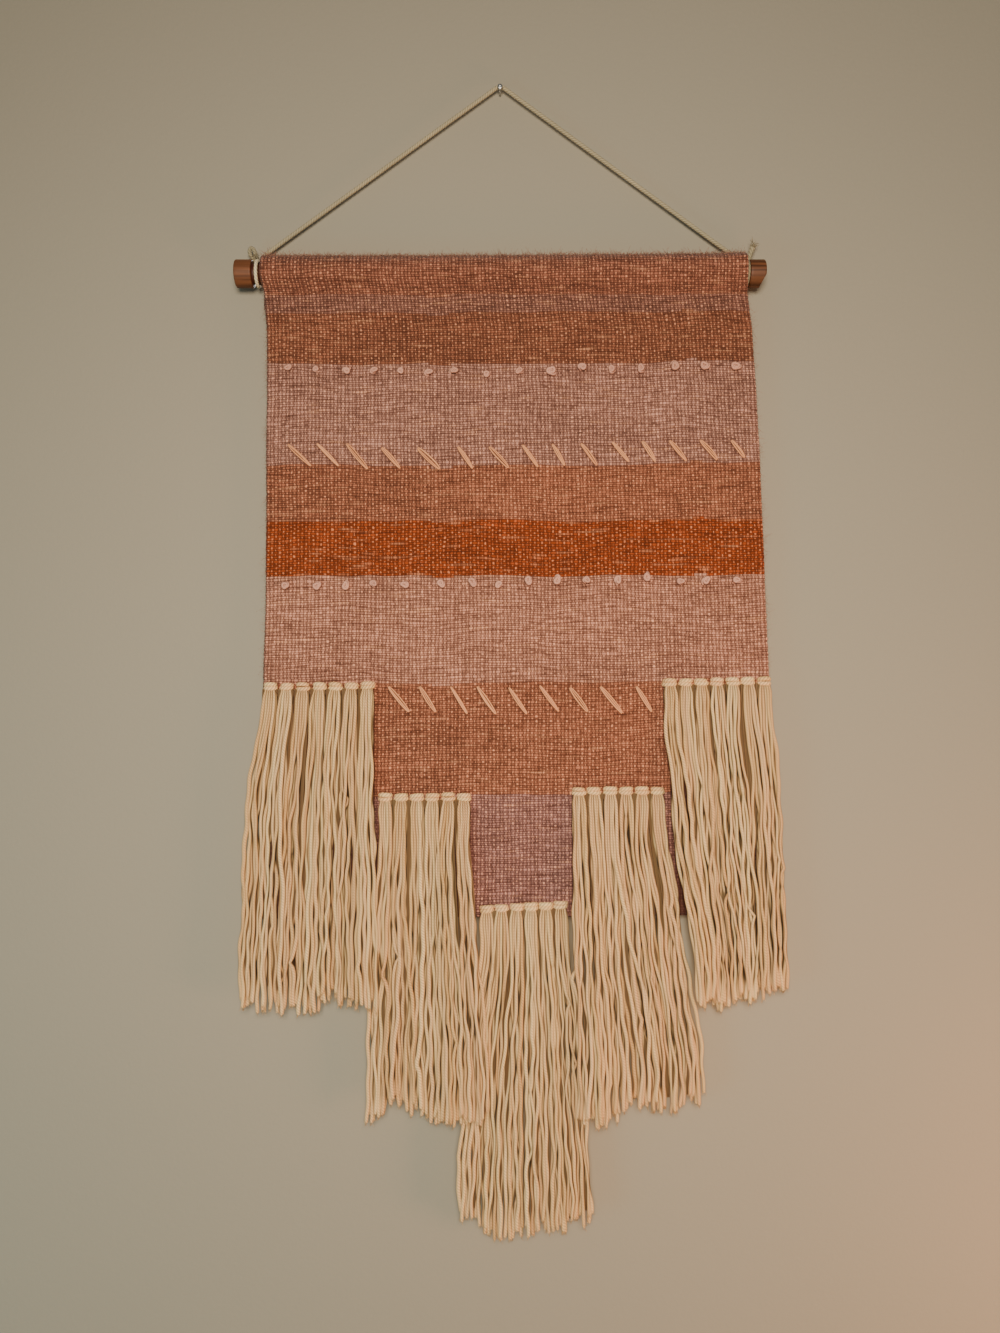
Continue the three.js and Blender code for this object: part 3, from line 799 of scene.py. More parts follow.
@dataclass(frozen=True)
class OiledWood:
    """Turned hardwood, sanded and oiled.

    To the eye it has long grain lines along the rod, a low gloss, and it is darker in the two grooves.
    """

    name: str = "oiled_hardwood"
    pale: str = "#754629"
    deep: str = "#40220E"
    groove_dark: str = "#3E180C"
    roughness: float = 0.56
    specular: float = 0.3
    # Units in a metre along and across the rod: with its scale of 1.6, the grain is 69 mm by 3.3 mm
    stretch: Triple = (9.0, 190.0, 190.0)
    grain_scale: float = 1.6
    ring_scale: float = 0.35
    ring_share: float = 0.16
    relief: float = 0.25

    def build(self) -> bpy.types.Material:
        """Make the material from Object coordinates, stretched along the rod, and the tone attribute, which
        darkens the grooves.

        Returns:
            The material.
        """
        material, tree = new_material(self.name)
        at = add_node(tree, Kind.COORDINATES).outputs["Object"]
        to_axis = (0.0, -ROD_Y * MM, -ROD_Z * MM)
        centred = add_node(tree, Kind.MAPPING, {"Vector": at, "Location": to_axis})
        long_way = add_node(tree, Kind.VECTOR_MATH, {0: centred, 1: self.stretch}, operation="MULTIPLY")
        drift = add_node(tree, Kind.NOISE, {"Vector": long_way, "Scale": 0.35, "Detail": 2.0})
        bent = add_node(tree, Kind.VECTOR_MATH, {0: long_way, 1: drift.outputs["Color"]}, operation="ADD")
        grain = add_node(tree, Kind.NOISE, {"Vector": bent, "Scale": self.grain_scale, "Detail": 5.0})
        rings = add_node(
            tree,
            Kind.WAVE,
            {"Vector": bent, "Scale": self.ring_scale, "Distortion": 3.0, "Detail": 2.0},
            wave_type="BANDS",
            bands_direction="Z",
        ).outputs["Fac"]
        mixed = add_node(tree, Kind.MATH, {0: rings, 1: self.ring_share, 2: grain}, operation="MULTIPLY_ADD")
        share = add_node(tree, Kind.RANGE, {"Value": mixed, "From Min": 0.4, "From Max": 0.8})
        grained = {"Fac": share, "Color1": linear(self.deep), "Color2": linear(self.pale)}
        colour = add_node(tree, Kind.LAY_OVER, grained)
        in_groove = add_node(tree, Kind.ATTRIBUTE, attribute_name="tone").outputs["Fac"]
        final = add_node(tree, Kind.LAY_OVER, {"Fac": in_groove, "Color1": colour, "Color2": linear(self.groove_dark)})
        pores = {"Height": grain, "Distance": self.relief * MM, "Strength": 0.6}
        bump = add_node(tree, Kind.BUMP, pores)
        finish = {
            "Base Color": final,
            "Roughness": self.roughness,
            "Normal": bump,
            "Specular IOR Level": self.specular,
        }
        add_node(tree, Kind.OUTPUT, {"Surface": add_node(tree, Kind.PRINCIPLED, finish)})
        return material


@dataclass(frozen=True)
class DrawnSteel:
    """Bright drawn wire with a struck head: to the eye a small hard glint, a little dulled by scuffs."""

    name: str = "drawn_steel"
    colour: str = "#B9B7B1"
    gloss: Pair = (0.25, 0.5)
    # Cells in a metre: scuffs of 0.7 mm
    scuff_scale: float = 1500.0

    def build(self) -> bpy.types.Material:
        """Make the metal with scuffs in its roughness.

        Returns:
            The material.
        """
        material, tree = new_material(self.name)
        at = add_node(tree, Kind.COORDINATES).outputs["Object"]
        scuff = add_node(tree, Kind.NOISE, {"Vector": at, "Scale": self.scuff_scale, "Detail": 3.0})
        bright, dull = self.gloss
        rough = add_node(tree, Kind.RANGE, {"Value": scuff, "To Min": bright, "To Max": dull})
        finish = {"Base Color": linear(self.colour), "Metallic": 1.0, "Roughness": rough}
        add_node(tree, Kind.OUTPUT, {"Surface": add_node(tree, Kind.PRINCIPLED, finish)})
        return material


@dataclass(frozen=True)
class RolledPaint:
    """Matt emulsion put on with a roller: to the eye a faint stipple and no gloss.

    One-sided paint shows from its painted side only.
    """

    name: str
    colour: str
    one_sided: bool
    roughness: float = 0.9
    specular: float = 0.2
    # Cells in a metre: stipple of 4 mm
    stipple_scale: float = 260.0
    relief: float = 0.2

    def build(self) -> bpy.types.Material:
        """Make the paint for a wall or floor, which isn't part of the object.

        Returns:
            The material.
        """
        material, tree = new_material(self.name)
        at = add_node(tree, Kind.COORDINATES).outputs["Object"]
        stipple = add_node(tree, Kind.NOISE, {"Vector": at, "Scale": self.stipple_scale, "Detail": 2.0})
        bump = add_node(tree, Kind.BUMP, {"Height": stipple, "Distance": self.relief * MM})
        finish = {
            "Base Color": linear(self.colour),
            "Roughness": self.roughness,
            "Normal": bump,
            "Specular IOR Level": self.specular,
        }
        paint = add_node(tree, Kind.PRINCIPLED, finish)
        if self.one_sided:
            clear = add_node(tree, Kind.TRANSPARENT)
            behind = add_node(tree, Kind.GEOMETRY).outputs["Backfacing"]
            paint = add_node(tree, Kind.MIX_SHADERS, {0: behind, 1: paint, 2: clear})
        add_node(tree, Kind.OUTPUT, {"Surface": paint})
        return material


# Thick soft wool in three plies: the fringe looks like a sheaf of warm cream ropes with dark gaps, in part
# painted shade
FRINGE_YARN = PliedYarn(
    name="plied_wool_yarn",
    pale="#FFDA9C",
    deep="#DBA669",
    shade_colour="#261205",
    blush="#F6BC8C",
    ply_length=7.5,
    relief=0.5,
    ply_shade=0.36,
)
# Loosely stranded wool, laid flat: each stitch looks like one soft peach stroke
SEWING_YARN = PliedYarn(
    name="stranded_wool_thread",
    pale="#F2AC7C",
    deep="#DA9060",
    shade_colour="#5A2A14",
    blush="#E69E70",
    ply_length=7.0,
    relief=0.15,
    ply_shade=0.2,
)
# The same wool wound tight: the knots look rosier and denser than the stitches
KNOT_YARN = PliedYarn(
    name="wound_wool_thread",
    pale="#E0A68C",
    deep="#C08870",
    shade_colour="#4E261A",
    blush="#CE9682",
    ply_length=6.0,
    relief=0.15,
    ply_shade=0.3,
)
# Firm twisted cotton, a little soiled: the cord looks greyer and harder than the wool
CORD_COTTON = PliedYarn(
    name="twisted_cotton_cord",
    pale="#E3CFA8",
    deep="#82785F",
    shade_colour="#463C2A",
    blush="#AE9E7C",
    ply_length=9.0,
    relief=0.35,
    ply_shade=0.3,
)
# Single fibres that have worked loose from the cloth: they look like a thin brown bloom on its edges
HAZE_WOOL = PliedYarn(
    name="wool_fibre_haze",
    pale="#AE7F69",
    deep="#6E4636",
    shade_colour="#6E4636",
    blush="#8F5F4A",
    ply_length=9.0,
    relief=0.02,
    ply_shade=0.1,
)


# Camera, light and room


@dataclass
class View:
    """The camera, where the photographer stood: a phone's lens, a little below the middle, tipped up."""

    place: Triple = (0.0, -929.0, -620.2)
    tip_up: float = 4.0
    # Focal length as a share of the frame's long side
    focal_share: float = 1000 / 1333
    sensor: float = 36.0

    def build(self) -> None:
        """Make the camera and set it as the scene's own."""
        data = bpy.data.cameras.new("view")
        data.sensor_width = self.sensor
        data.lens = self.sensor * self.focal_share
        camera = bpy.data.objects.new("view", data)
        camera.location = [value * MM for value in self.place]
        camera.rotation_euler = (math.radians(90 + self.tip_up), 0.0, 0.0)
        bpy.context.scene.collection.objects.link(camera)
        bpy.context.scene.camera = camera


@dataclass(frozen=True)
class Lamp:
    """One area light, in metres, watts and degrees, aimed at a point."""

    name: str
    place: Triple
    aim: Triple
    size: float
    power: float
    colour: Triple
    spread: float

    def build(self) -> None:
        """Make the light and turn it to its aim."""
        data = bpy.data.lights.new(self.name, "AREA")
        data.size = self.size
        data.energy = self.power
        data.color = self.colour
        data.spread = math.radians(self.spread)
        light = bpy.data.objects.new(self.name, data)
        light.location = self.place
        way = Vector(self.aim) - light.location
        light.rotation_euler = way.to_track_quat("-Z", "Y").to_euler()
        bpy.context.scene.collection.objects.link(light)


@dataclass
class Room:
    """A pale floor, a painted wall behind the piece and soft lights, in metres."""

    wall_colour: str = "#958C7A"
    floor_colour: str = "#CFC8BA"
    half_width: float = 3.0
    wall_y: float = 0.001
    wall_top: float = 2.0
    floor_z: float = -1.62
    floor_front: float = -4.0
    floor_back: float = 3.0
    sky: Triple = (0.88, 0.95, 1.0)
    sky_strength: float = 0.18
    # The last lamp stands opposite the camera, where it lights the hanging's back and not its outline
    lamps: tuple[Lamp, ...] = (
        Lamp("key", (0.0, -1.4, -0.42), (0.05, 0.0, -0.62), 0.4, 17.2, (1.0, 0.9, 0.75), 140.0),
        Lamp("warm_side", (0.8, -0.42, -1.1), (0.25, 0.0, -0.95), 0.35, 4.4, (1.0, 0.5, 0.26), 160.0),
        Lamp("cool_side", (-1.1, -0.9, -1.15), (-0.55, 0.0, -1.15), 0.6, 3.4, (0.25, 0.8, 1.0), 160.0),
        Lamp("back", (0.0, 1.4, 0.52), (0.0, 0.0, -0.6), 0.25, 19.0, (1.0, 0.95, 0.88), 160.0),
    )

    def build(self) -> None:
        """Make the stage pieces, the lamps and the sky."""
        side, low, y = self.half_width, self.floor_z, self.wall_y
        wall = [[-side, y, low], [side, y, low], [side, y, self.wall_top], [-side, y, self.wall_top]]
        front, back = self.floor_front, self.floor_back
        floor = [[-side, front, low], [side, front, low], [side, back, low], [-side, back, low]]
        self.plane("wall", wall, self.wall_colour, True)
        self.plane("floor", floor, self.floor_colour, False)
        for lamp in self.lamps:
            lamp.build()
        world = bpy.data.worlds.new("soft_sky")
        world.use_nodes = True
        backdrop = world.node_tree.nodes["Background"]
        backdrop.inputs["Color"].default_value = (*self.sky, 1.0)
        backdrop.inputs["Strength"].default_value = self.sky_strength
        bpy.context.scene.world = world

    def plane(self, name: str, corners: list[list[float]], colour: str, one_sided: bool) -> None:
        """Make one flat stage piece.

        Args:
            name: its name, also of its paint.
            corners: its four corners in metres.
            colour: the paint's sRGB colour.
            one_sided: whether it shows from its painted side only, and lets the light behind it through.
        """
        mesh = bpy.data.meshes.new(name)
        mesh.from_pydata(corners, [], [(0, 1, 2, 3)])
        mesh.materials.append(RolledPaint(f"{name}_paint", colour, one_sided).build())
        piece = bpy.data.objects.new(name, mesh)
        bpy.context.scene.collection.objects.link(piece)
        # A one-sided wall casts no shade, so that the lamp behind it reaches the hanging's back
        piece.visible_shadow = not one_sided


# The cord


@dataclass
class HangingCord:
    """The cord's free stretch, from the left knot over the nail to the right knot."""

    radius: float = 1.9
    y: float = -7.8
    route: tuple[Pair, ...] = (
        (-228.6, -172.4), (-225.8, -167.6), (-220.4, -161.4), (-206, -150.4), (-185, -134.6), (-165, -119.5),
        (-145, -104.4), (-125, -89.3), (-105, -74.2), (-85, -59.1), (-65, -44), (-45, -28.9), (-27, -15.4),
        (-12, -4.1), (-3.9, 2.1), (-2, 3.1), (0, 3.4), (2, 3.1), (3.9, 2.1), (12, -4.2), (27, -15.7),
        (45, -29.4), (65, -44.8), (85, -60.1), (105, -75.4), (125, -90.7), (145, -106), (165, -121.3),
        (185, -136.6), (207, -153.4), (220, -162.9), (229, -168.6), (234.8, -171.8),
    )
    length: float = 581.0
    stations: int = 420
    corner_round: float = 1.2
    sides: int = 15
    tone: float = 0.25
    plies: float = 0.07
    twist: float = 14.0

    def centre_line(self) -> np.ndarray:
        """Lay the route's points in the cord's plane and round its corners.

        Returns:
            Evenly spaced stations along the route.
        """
        flat = np.array(self.route, float)
        points = np.stack([flat[:, 0], np.full(len(flat), self.y), flat[:, 1]], axis=1)
        return smooth_line(points, self.stations, self.corner_round)

    def build(self, cotton: bpy.types.Material) -> bpy.types.Object:
        """Make the cord as a plied tube along its route.

        Args:
            cotton: the cord's material.

        Returns:
            The cord's object.
        """
        radii = np.full((1, self.stations), self.radius)
        tone = np.full(1, self.tone)
        line = self.centre_line()[None]
        tube = sweep(line, radii, self.sides, (0.0, 1.0, 0.0), tone, plies=self.plies, twist=self.twist)
        cord = make_piece("cotton_hanging_cord", tube, cotton, Slot.CORD)
        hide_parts("hanging_cord")
        return cord

    def declare(self) -> None:
        """Work out the cord's centre line in metres; nothing is done with it.
        """
        line = self.centre_line() * MM


@dataclass
class CordTurn:
    """One end of the cord: a turn in the rod's groove, a knot behind the rod's top and a frayed cut tail."""

    name: str
    node: str
    x: float
    ring_radius: float
    knot: Triple
    tail: tuple[Triple, ...]
    tail_radii: Pair
    seed: int
    ring_tone: float
    thick: float = 1.6
    # The turn overlaps itself by these angles in radians, and drifts along the rod between these places
    ring_ends: Pair = (-0.25, 0.3)
    ring_drift: Pair = (-0.5, 0.7)
    ring_stations: int = 72
    # The knot's and tail's cotton is the greyer for having been handled
    worn_tone: float = 0.1
    knot_thick: float = 1.25
    knot_half: float = 1.45
    knot_flat: float = 0.75
    knot_stations: int = 64
    tail_stations: int = 40
    fibres: int = 42
    fibre_length: float = 6.0
    fibre_thick: float = 0.27
    fibre_stations: int = 8

    def build(self, cotton: bpy.types.Material) -> bpy.types.Object:
        """Join the turn, the knot, the tail and its loose fibres into one piece.

        The turn is a circle round the rod's axis that drifts along the rod. The knot is a trefoil line:
        (sin t + 2 sin 2t, cos t - 2 cos 2t, -sin 3t), scaled to the knot's size.

        Args:
            cotton: the cord's material.

        Returns:
            The piece.
        """
        angle = np.linspace(self.ring_ends[0], TURN + self.ring_ends[1], self.ring_stations)
        drift = np.linspace(*self.ring_drift, self.ring_stations)
        ring_y = ROD_Y + self.ring_radius * np.sin(angle)
        ring_z = ROD_Z + self.ring_radius * np.cos(angle)
        ring = np.stack([self.x + drift, ring_y, ring_z], axis=1)
        t = np.linspace(0.0, TURN, self.knot_stations)
        trefoil = [np.sin(t) + 2 * np.sin(2 * t), -1.2 * np.sin(3 * t), np.cos(t) - 2 * np.cos(2 * t)]
        half = np.array([self.knot_half, self.knot_half * self.knot_flat, self.knot_half])
        knot = np.array(self.knot) + np.stack(trefoil, axis=1) * half
        tail = smooth_line(np.array((self.knot,) + self.tail), self.tail_stations, 1.2)
        ring_radii = np.full((1, self.ring_stations), self.thick)
        knot_radii = np.full((1, self.knot_stations), self.knot_thick)
        tail_radii = np.linspace(*self.tail_radii, self.tail_stations)[None]
        ring_tone, worn = np.full(1, self.ring_tone), np.full(1, self.worn_tone)
        bodies = [
            sweep(ring[None], ring_radii, 12, (1.0, 0.0, 0.0), ring_tone, plies=0.07, twist=12.0),
            sweep(knot[None], knot_radii, 10, (0.21, 0.37, 0.9), worn, plies=0.07, twist=10.0),
            sweep(tail[None], tail_radii, 12, (0.0, 1.0, 0.1), worn, plies=0.1, twist=10.0),
            self.frayed(tail),
        ]
        piece = make_piece(self.name, merged(bodies), cotton, Slot.CORD)
        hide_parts(self.node)
        return piece

    def frayed(self, tail: np.ndarray) -> Surface:
        """Loose fibres at the tail's end: lines that run on from it, and spread and droop with distance.

        Args:
            tail: the tail's centre line.

        Returns:
            The fibres' surface.
        """
        rng = np.random.default_rng(self.seed)
        count = self.fibres
        way = unit(tail[-1] - tail[-4])
        share = np.linspace(0, 1, self.fibre_stations)[None, :, None]
        length = self.fibre_length * rng.uniform(0.45, 1.0, (count, 1, 1))
        spread = rng.normal(0, 0.42, (count, 1, 3))
        start = tail[-2] + rng.normal(0, 0.75, (count, 1, 3))
        droop = rng.normal(0, 0.5, (count, 1, 3)) * share**2
        lines = start + length * (way * share + spread * share**1.3 + droop * 0.6)
        taper = np.linspace(1, 0.5, self.fibre_stations)
        radii = np.full((count, self.fibre_stations), self.fibre_thick) * taper
        return sweep(lines, radii, 5, (0.3, 0.5, 0.2), tone=rng.uniform(0.0, 0.5, count))


LEFT_TURN = CordTurn(
    name="cotton_turn_left",
    node="cord_turn_left",
    x=-227.2,
    ring_radius=11.4,
    knot=(-230.0, -8.4, -173.3),
    tail=(
        (-232.6, -9.6, -170.0), (-236.4, -11.4, -165.6), (-237.4, -12.6, -161.4), (-235.0, -13.2, -158.8),
        (-232.4, -13.0, -161.2), (-231.6, -12.2, -165.6),
    ),
    tail_radii=(1.7, 1.8),
    seed=3,
    ring_tone=1.0,
)
RIGHT_TURN = CordTurn(
    name="cotton_turn_right",
    node="cord_turn_right",
    x=230.8,
    ring_radius=11.0,
    knot=(236.4, -7.9, -172.0),
    tail=((236.6, -9.8, -171.0), (236.0, -11.4, -168.0), (237.2, -12.6, -163.4), (239.0, -13.0, -159.4)),
    tail_radii=(1.6, 2.5),
    seed=4,
    # Painted shade: the right turn takes the darkest tone, so that it looks shaded in its groove
    ring_tone=-0.1,
)


# The rod and the nail


@dataclass
class Rod:
    """The round stick, with a narrow groove turned near each end and a slanted saw cut on the right."""

    left: float = -247.6
    right: float = 247.6
    groove_radius: float = 9.1
    grooves: tuple[Pair, ...] = ((-231.8, -223.2), (228.6, 233.0))
    corner: float = 1.3
    slant_along: float = 4.4
    slant_up: float = 8.0
    sides: int = 72
    # Hand-sanded wood is a little out of round: shares of the radius, in two and in five waves
    oval: float = 0.004
    flats: float = 0.003
    groove_dark: float = 0.93

    def profile(self) -> np.ndarray:
        """The rod's outline, with quarter rounds at the ends and soft shoulders at the grooves.

        Returns:
            Rows of radius and x, from end to end.
        """
        soft = [(self.corner * (1 - math.sin(a)), self.corner * (1 - math.cos(a))) for a in self.quarter()]
        shoulder = [(ROD_RADIUS - 0.25, -0.1), (ROD_RADIUS - 0.8, 0.15)]
        shoulder += [(self.groove_radius + 0.5, 0.35), (self.groove_radius, 1.0)]
        rows = [[0.0, self.left]]
        rows += [[ROD_RADIUS - sunk, self.left + along] for sunk, along in soft]
        for low, high in self.grooves:
            rows += [[ROD_RADIUS, x] for x in np.linspace(rows[-1][1] + 2, low - 0.6, 12)]
            rows += [[radius, low + step] for radius, step in shoulder]
            rows += [[radius, high - step] for radius, step in reversed(shoulder)]
            rows += [[ROD_RADIUS, high + 0.6]]
        rows += [[ROD_RADIUS, x] for x in np.linspace(rows[-1][1] + 2, self.right - self.corner - 0.5, 8)]
        rows += [[ROD_RADIUS - along, self.right - sunk] for sunk, along in soft]
        rows += [[(ROD_RADIUS - self.corner) * share, self.right] for share in (0.75, 0.5, 0.25, 0.0)]
        return np.array(rows)

    def quarter(self) -> np.ndarray:
        """Angles of a quarter round, in radians."""
        return np.linspace(0, math.pi / 2, 6)

    def build(self, wood: bpy.types.Material) -> bpy.types.Object:
        """Turn the rod, saw its right end and mark how much darker each point of the grooves is.

        The saw cut holds each corner left of a slanted plane: x = min(x, plane(z)). Wood bends a little
        from round by a sum of cosines of the angle. The darkening is 1 in the grooves and fades over a
        millimetre.

        Args:
            wood: the rod's material.

        Returns:
            The rod's object.
        """
        surface = turned(self.profile(), self.sides)
        points = surface.points
        angle = np.arctan2(points[:, 2], points[:, 1])
        waves = self.oval * np.cos(2 * angle + 0.6) + self.flats * np.cos(5 * angle + 0.02 * points[:, 0])
        points[:, 1:] *= (1 + waves)[:, None]
        below = np.clip((-ROD_RADIUS + self.slant_up - points[:, 2]) / self.slant_up, 0, 2)
        points[:, 0] = np.minimum(points[:, 0], self.right - self.slant_along * below)
        groove_dark = np.zeros(len(points))
        reach = np.hypot(points[:, 1], points[:, 2])
        for low, high in self.grooves:
            near = (points[:, 0] > low - 0.5) & (points[:, 0] < high + 0.5)
            groove_dark = np.where(near, ease(ROD_RADIUS - 0.1, ROD_RADIUS - 1.4, reach) * self.groove_dark, groove_dark)
        surface.tone = groove_dark
        points += np.array([0.0, ROD_Y, ROD_Z])
        piece = make_piece("turned_rod", surface, wood, Slot.ROD)
        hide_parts("rod")
        return piece


@dataclass
class Nail:
    """A small round-headed nail, its stem ending at the wall."""

    radius: float = 1.2
    head_radius: float = 2.6
    length: float = 14.6
    head: float = 1.4
    sides: int = 32

    def build(self, steel: bpy.types.Material) -> bpy.types.Object:
        """Turn the nail on its own axis, then point it out of the wall.

        The head is a short rim and, on it, a quarter of an ellipse turned into a dome.

        Args:
            steel: the nail's material.

        Returns:
            The nail's object.
        """
        under = -(self.length - self.head)
        rim = -(self.length - self.head * 0.8)
        rows = [[0, 0], [self.radius, 0], [self.radius, under]]
        rows += [[self.head_radius * 0.94, under], [self.head_radius, rim]]
        for a in np.linspace(0, math.pi / 2, 8):
            dome = self.head * 0.6 * (1 - math.sin(a))
            rows.append([self.head_radius * math.cos(a), -(self.length - dome)])
        surface = turned(np.array(rows, float), self.sides)
        surface.points = surface.points[:, [1, 0, 2]]
        piece = make_piece("wire_nail", surface, steel, Slot.NAIL)
        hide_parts("nail")
        return piece


# The cloth


def sheet_wave(x: np.ndarray, z: np.ndarray) -> np.ndarray:
    """How far the sheet's broad waves carry it towards the wall.

    They are two sines of x and z, the same as in the solid, and they grow from the seam down.

    Args:
        x: the points' x.
        z: the points' z.

    Returns:
        The way along Y at each point.
    """
    grow = ease(-220.0, -420.0, z)
    first = 1.3 * np.sin(TURN * (x / 300 + z / 1500 + 0.13))
    second = 0.6 * np.sin(TURN * (x / 165 + z / 560 + 0.6))
    return grow * (first + second)


def cloth_face(x: np.ndarray, z: np.ndarray, side: Side) -> np.ndarray:
    """Y of the cloth's front or back face below the seam."""
    return ROD_Y + sheet_wave(x, np.maximum(z, BOTTOM_Z)) + side.value * CLOTH_THICK / 2


@dataclass
class Cloth:
    """The woven sheet: hem at the bottom, folded to the back over the rod at the top and sewn down."""

    edge_z: tuple[float, ...] = (-205, -240, -300, -402, -477, -560, -680, -782)
    edge_left: tuple[float, ...] = (-220.4, -217.2, -216.4, -214.9, -214.3, -214.9, -214.6, -213.8)
    edge_right: tuple[float, ...] = (230.8, 234.6, 237.6, 240.4, 242.4, 244.2, 243.6, 242.6)
    pocket_left: float = -221.6
    pocket_right: float = 228.6
    loop_radius: float = 14.5
    flap: float = 14.0
    seed: int = 11
    columns: int = 150
    rows: int = 288
    # Rows stand closer together from this far below the seam upwards
    close_below: float = 14.0
    close_rows: int = 72
    # The picks rise to the right by this much over the width
    rise: float = 3.4
    # Selvedge: a bump at each second pick, and slow unevenness
    selvedge_bump: float = 0.55
    selvedge_wave: float = 0.9
    selvedge_round: float = 0.8
    pucker: float = 0.616
    fine: float = 0.09
    # U starts at this count of ends, so that no end has a negative number
    first_end: float = 400

    def section(self) -> tuple[np.ndarray, np.ndarray, np.ndarray]:
        """The sheet's middle line in the YZ plane.

        It runs straight up the panel, leaves it on a line that touches the loop's circle, goes over the rod,
        comes down on the matching line behind, and hangs on as the seam allowance.

        Returns:
            The line's points, its outward normals and the length from the hem to each point.
        """
        touch = math.acos(self.loop_radius / SEAM_DROP)
        angle = np.linspace(touch, TURN - touch, 60)
        arc_y = ROD_Y - self.loop_radius * np.sin(angle)
        arc_z = ROD_Z - self.loop_radius * np.cos(angle)
        behind = ROD_Y + CLOTH_THICK + 0.2
        panel = [[ROD_Y, BOTTOM_Z], [ROD_Y, SEAM_Z]]
        allowance = [[behind, SEAM_Z], [behind + 0.2, SEAM_Z - self.flap]]
        line = smooth_line(np.concatenate([panel, np.stack([arc_y, arc_z], axis=1), allowance]), 1400, 1.1)
        length = length_along(line)
        close = length[-1] - (SEAM_Z - BOTTOM_Z) + self.close_below
        split = 1 - self.close_rows / self.rows
        share = np.linspace(0, 1, self.rows)
        lower = share / split * (length[-1] - close)
        upper = length[-1] - close * (1 - share) / (1 - split)
        place = np.where(share < split, lower, upper)
        line = np.stack([np.interp(place, length, axis) for axis in line.T], axis=1)
        along = unit(np.gradient(line, axis=0))
        return line, np.stack([-along[:, 1], along[:, 0]], axis=1), place

    def side_x(
        self, z: np.ndarray, on_panel: np.ndarray, edge: tuple[float, ...], pocket: float
    ) -> np.ndarray:
        """X of one side of the sheet, row by row.

        Args:
            z: the rows' heights.
            on_panel: whether a row is on the hanging panel.
            edge: the side's x at the heights of edge_z.
            pocket: the side's x on the rod pocket.

        Returns:
            The side's x at each row.
        """
        hanging = np.interp(z, np.array(self.edge_z[::-1]), edge[::-1])
        return np.where(on_panel, hanging, blend(edge[0], pocket, ease(SEAM_Z, SEAM_Z + 12, z)))

    def build(self, wool: bpy.types.Material, covers: list[Cover]) -> bpy.types.Object:
        """Make the sheet as one closed skin: each row is a ring that runs across the front and back again.

        A corner is the section's point plus or minus half the thickness along its normal. The panel adds
        the broad waves, small puckers from smooth random curves, and selvedge bumps at each pick.

        Args:
            wool: the cloth's material.
            covers: each gives the painted shade that something puts on points of the face, from x and z.

        Returns:
            The sheet's object.
        """
        rng = np.random.default_rng(self.seed)
        line, normal, place = self.section()
        y, z, length = line[:, 0:1], line[:, 1:2], place[:, None]
        on_panel = length < (SEAM_Z - BOTTOM_Z)
        left = self.side_x(z, on_panel, self.edge_left, self.pocket_left)
        right = self.side_x(z, on_panel, self.edge_right, self.pocket_right)
        picks = length / PICK_PITCH
        beat = math.pi * picks * 0.5
        uneven = [ripple(length / length[-1], rng, 60, (1, 1)) * self.selvedge_wave for _ in range(2)]
        bump_left = self.selvedge_bump * np.abs(np.sin(beat)) + uneven[0]
        bump_right = self.selvedge_bump * np.abs(np.cos(beat)) + uneven[1]
        share = np.linspace(0, 1, self.columns)[None, :]
        x = blend(left - bump_left, right + bump_right, share)
        # The pocket lies looser on the rod towards its right end
        loose = 0.2 + 1.6 * ease(0.35, 1.0, share) + 1.4 * ease(0.93, 1.0, share)
        slack = ease(ROD_Z, ROD_Z + 9.0, z) * (loose + 0.6 * ripple(share, rng, 14, (1, 1)))
        pucker = self.pucker * ripple(share, rng, 26, (1, 1)) * ripple(z / 600, rng, 18, (1, 1))
        out = slack + pucker + rng.normal(0, self.fine, x.shape)
        lift = self.rise * (share - 0.5) * ease(-196.0, -240.0, z)
        hanging = on_panel | (length > length[-1] - self.flap)
        carried = sheet_wave(x, z) * hanging
        ahead = CLOTH_THICK / 2 + out
        behind = CLOTH_THICK / 2 - out * 0.6
        front = [x, y + carried + normal[:, 0:1] * ahead, z + lift + normal[:, 1:2] * ahead]
        back = [x, y + carried - normal[:, 0:1] * behind, z + lift - normal[:, 1:2] * behind]
        front, back = np.stack(front, axis=-1), np.stack(back, axis=-1)
        middle = (front + back) / 2
        rounding = np.array([self.selvedge_round, 0.0, 0.0])
        rings = [front, middle[:, -1:] + rounding, back[:, ::-1], middle[:, :1] - rounding]
        rings = np.concatenate(rings, axis=1)
        ends_across = (self.pocket_right - self.pocket_left) / WARP_PITCH
        u = np.concatenate([share[0], [1.0], share[0][::-1], [0.0]]) * ends_across + self.first_end
        surface = self.skin(rings, u, picks[:, 0])
        crease = np.zeros(rings.shape[:2])
        # Painted shade from the fringe, and painted shadows round the knots and stitches
        covered = np.max([cover(front[..., 0], front[..., 2]) for cover in covers], axis=0)
        crease[:, : self.columns] = covered * on_panel
        surface.crease = crease.ravel()
        piece = make_piece("woven_cloth", surface, wool, Slot.CLOTH)
        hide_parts("cloth")
        return piece

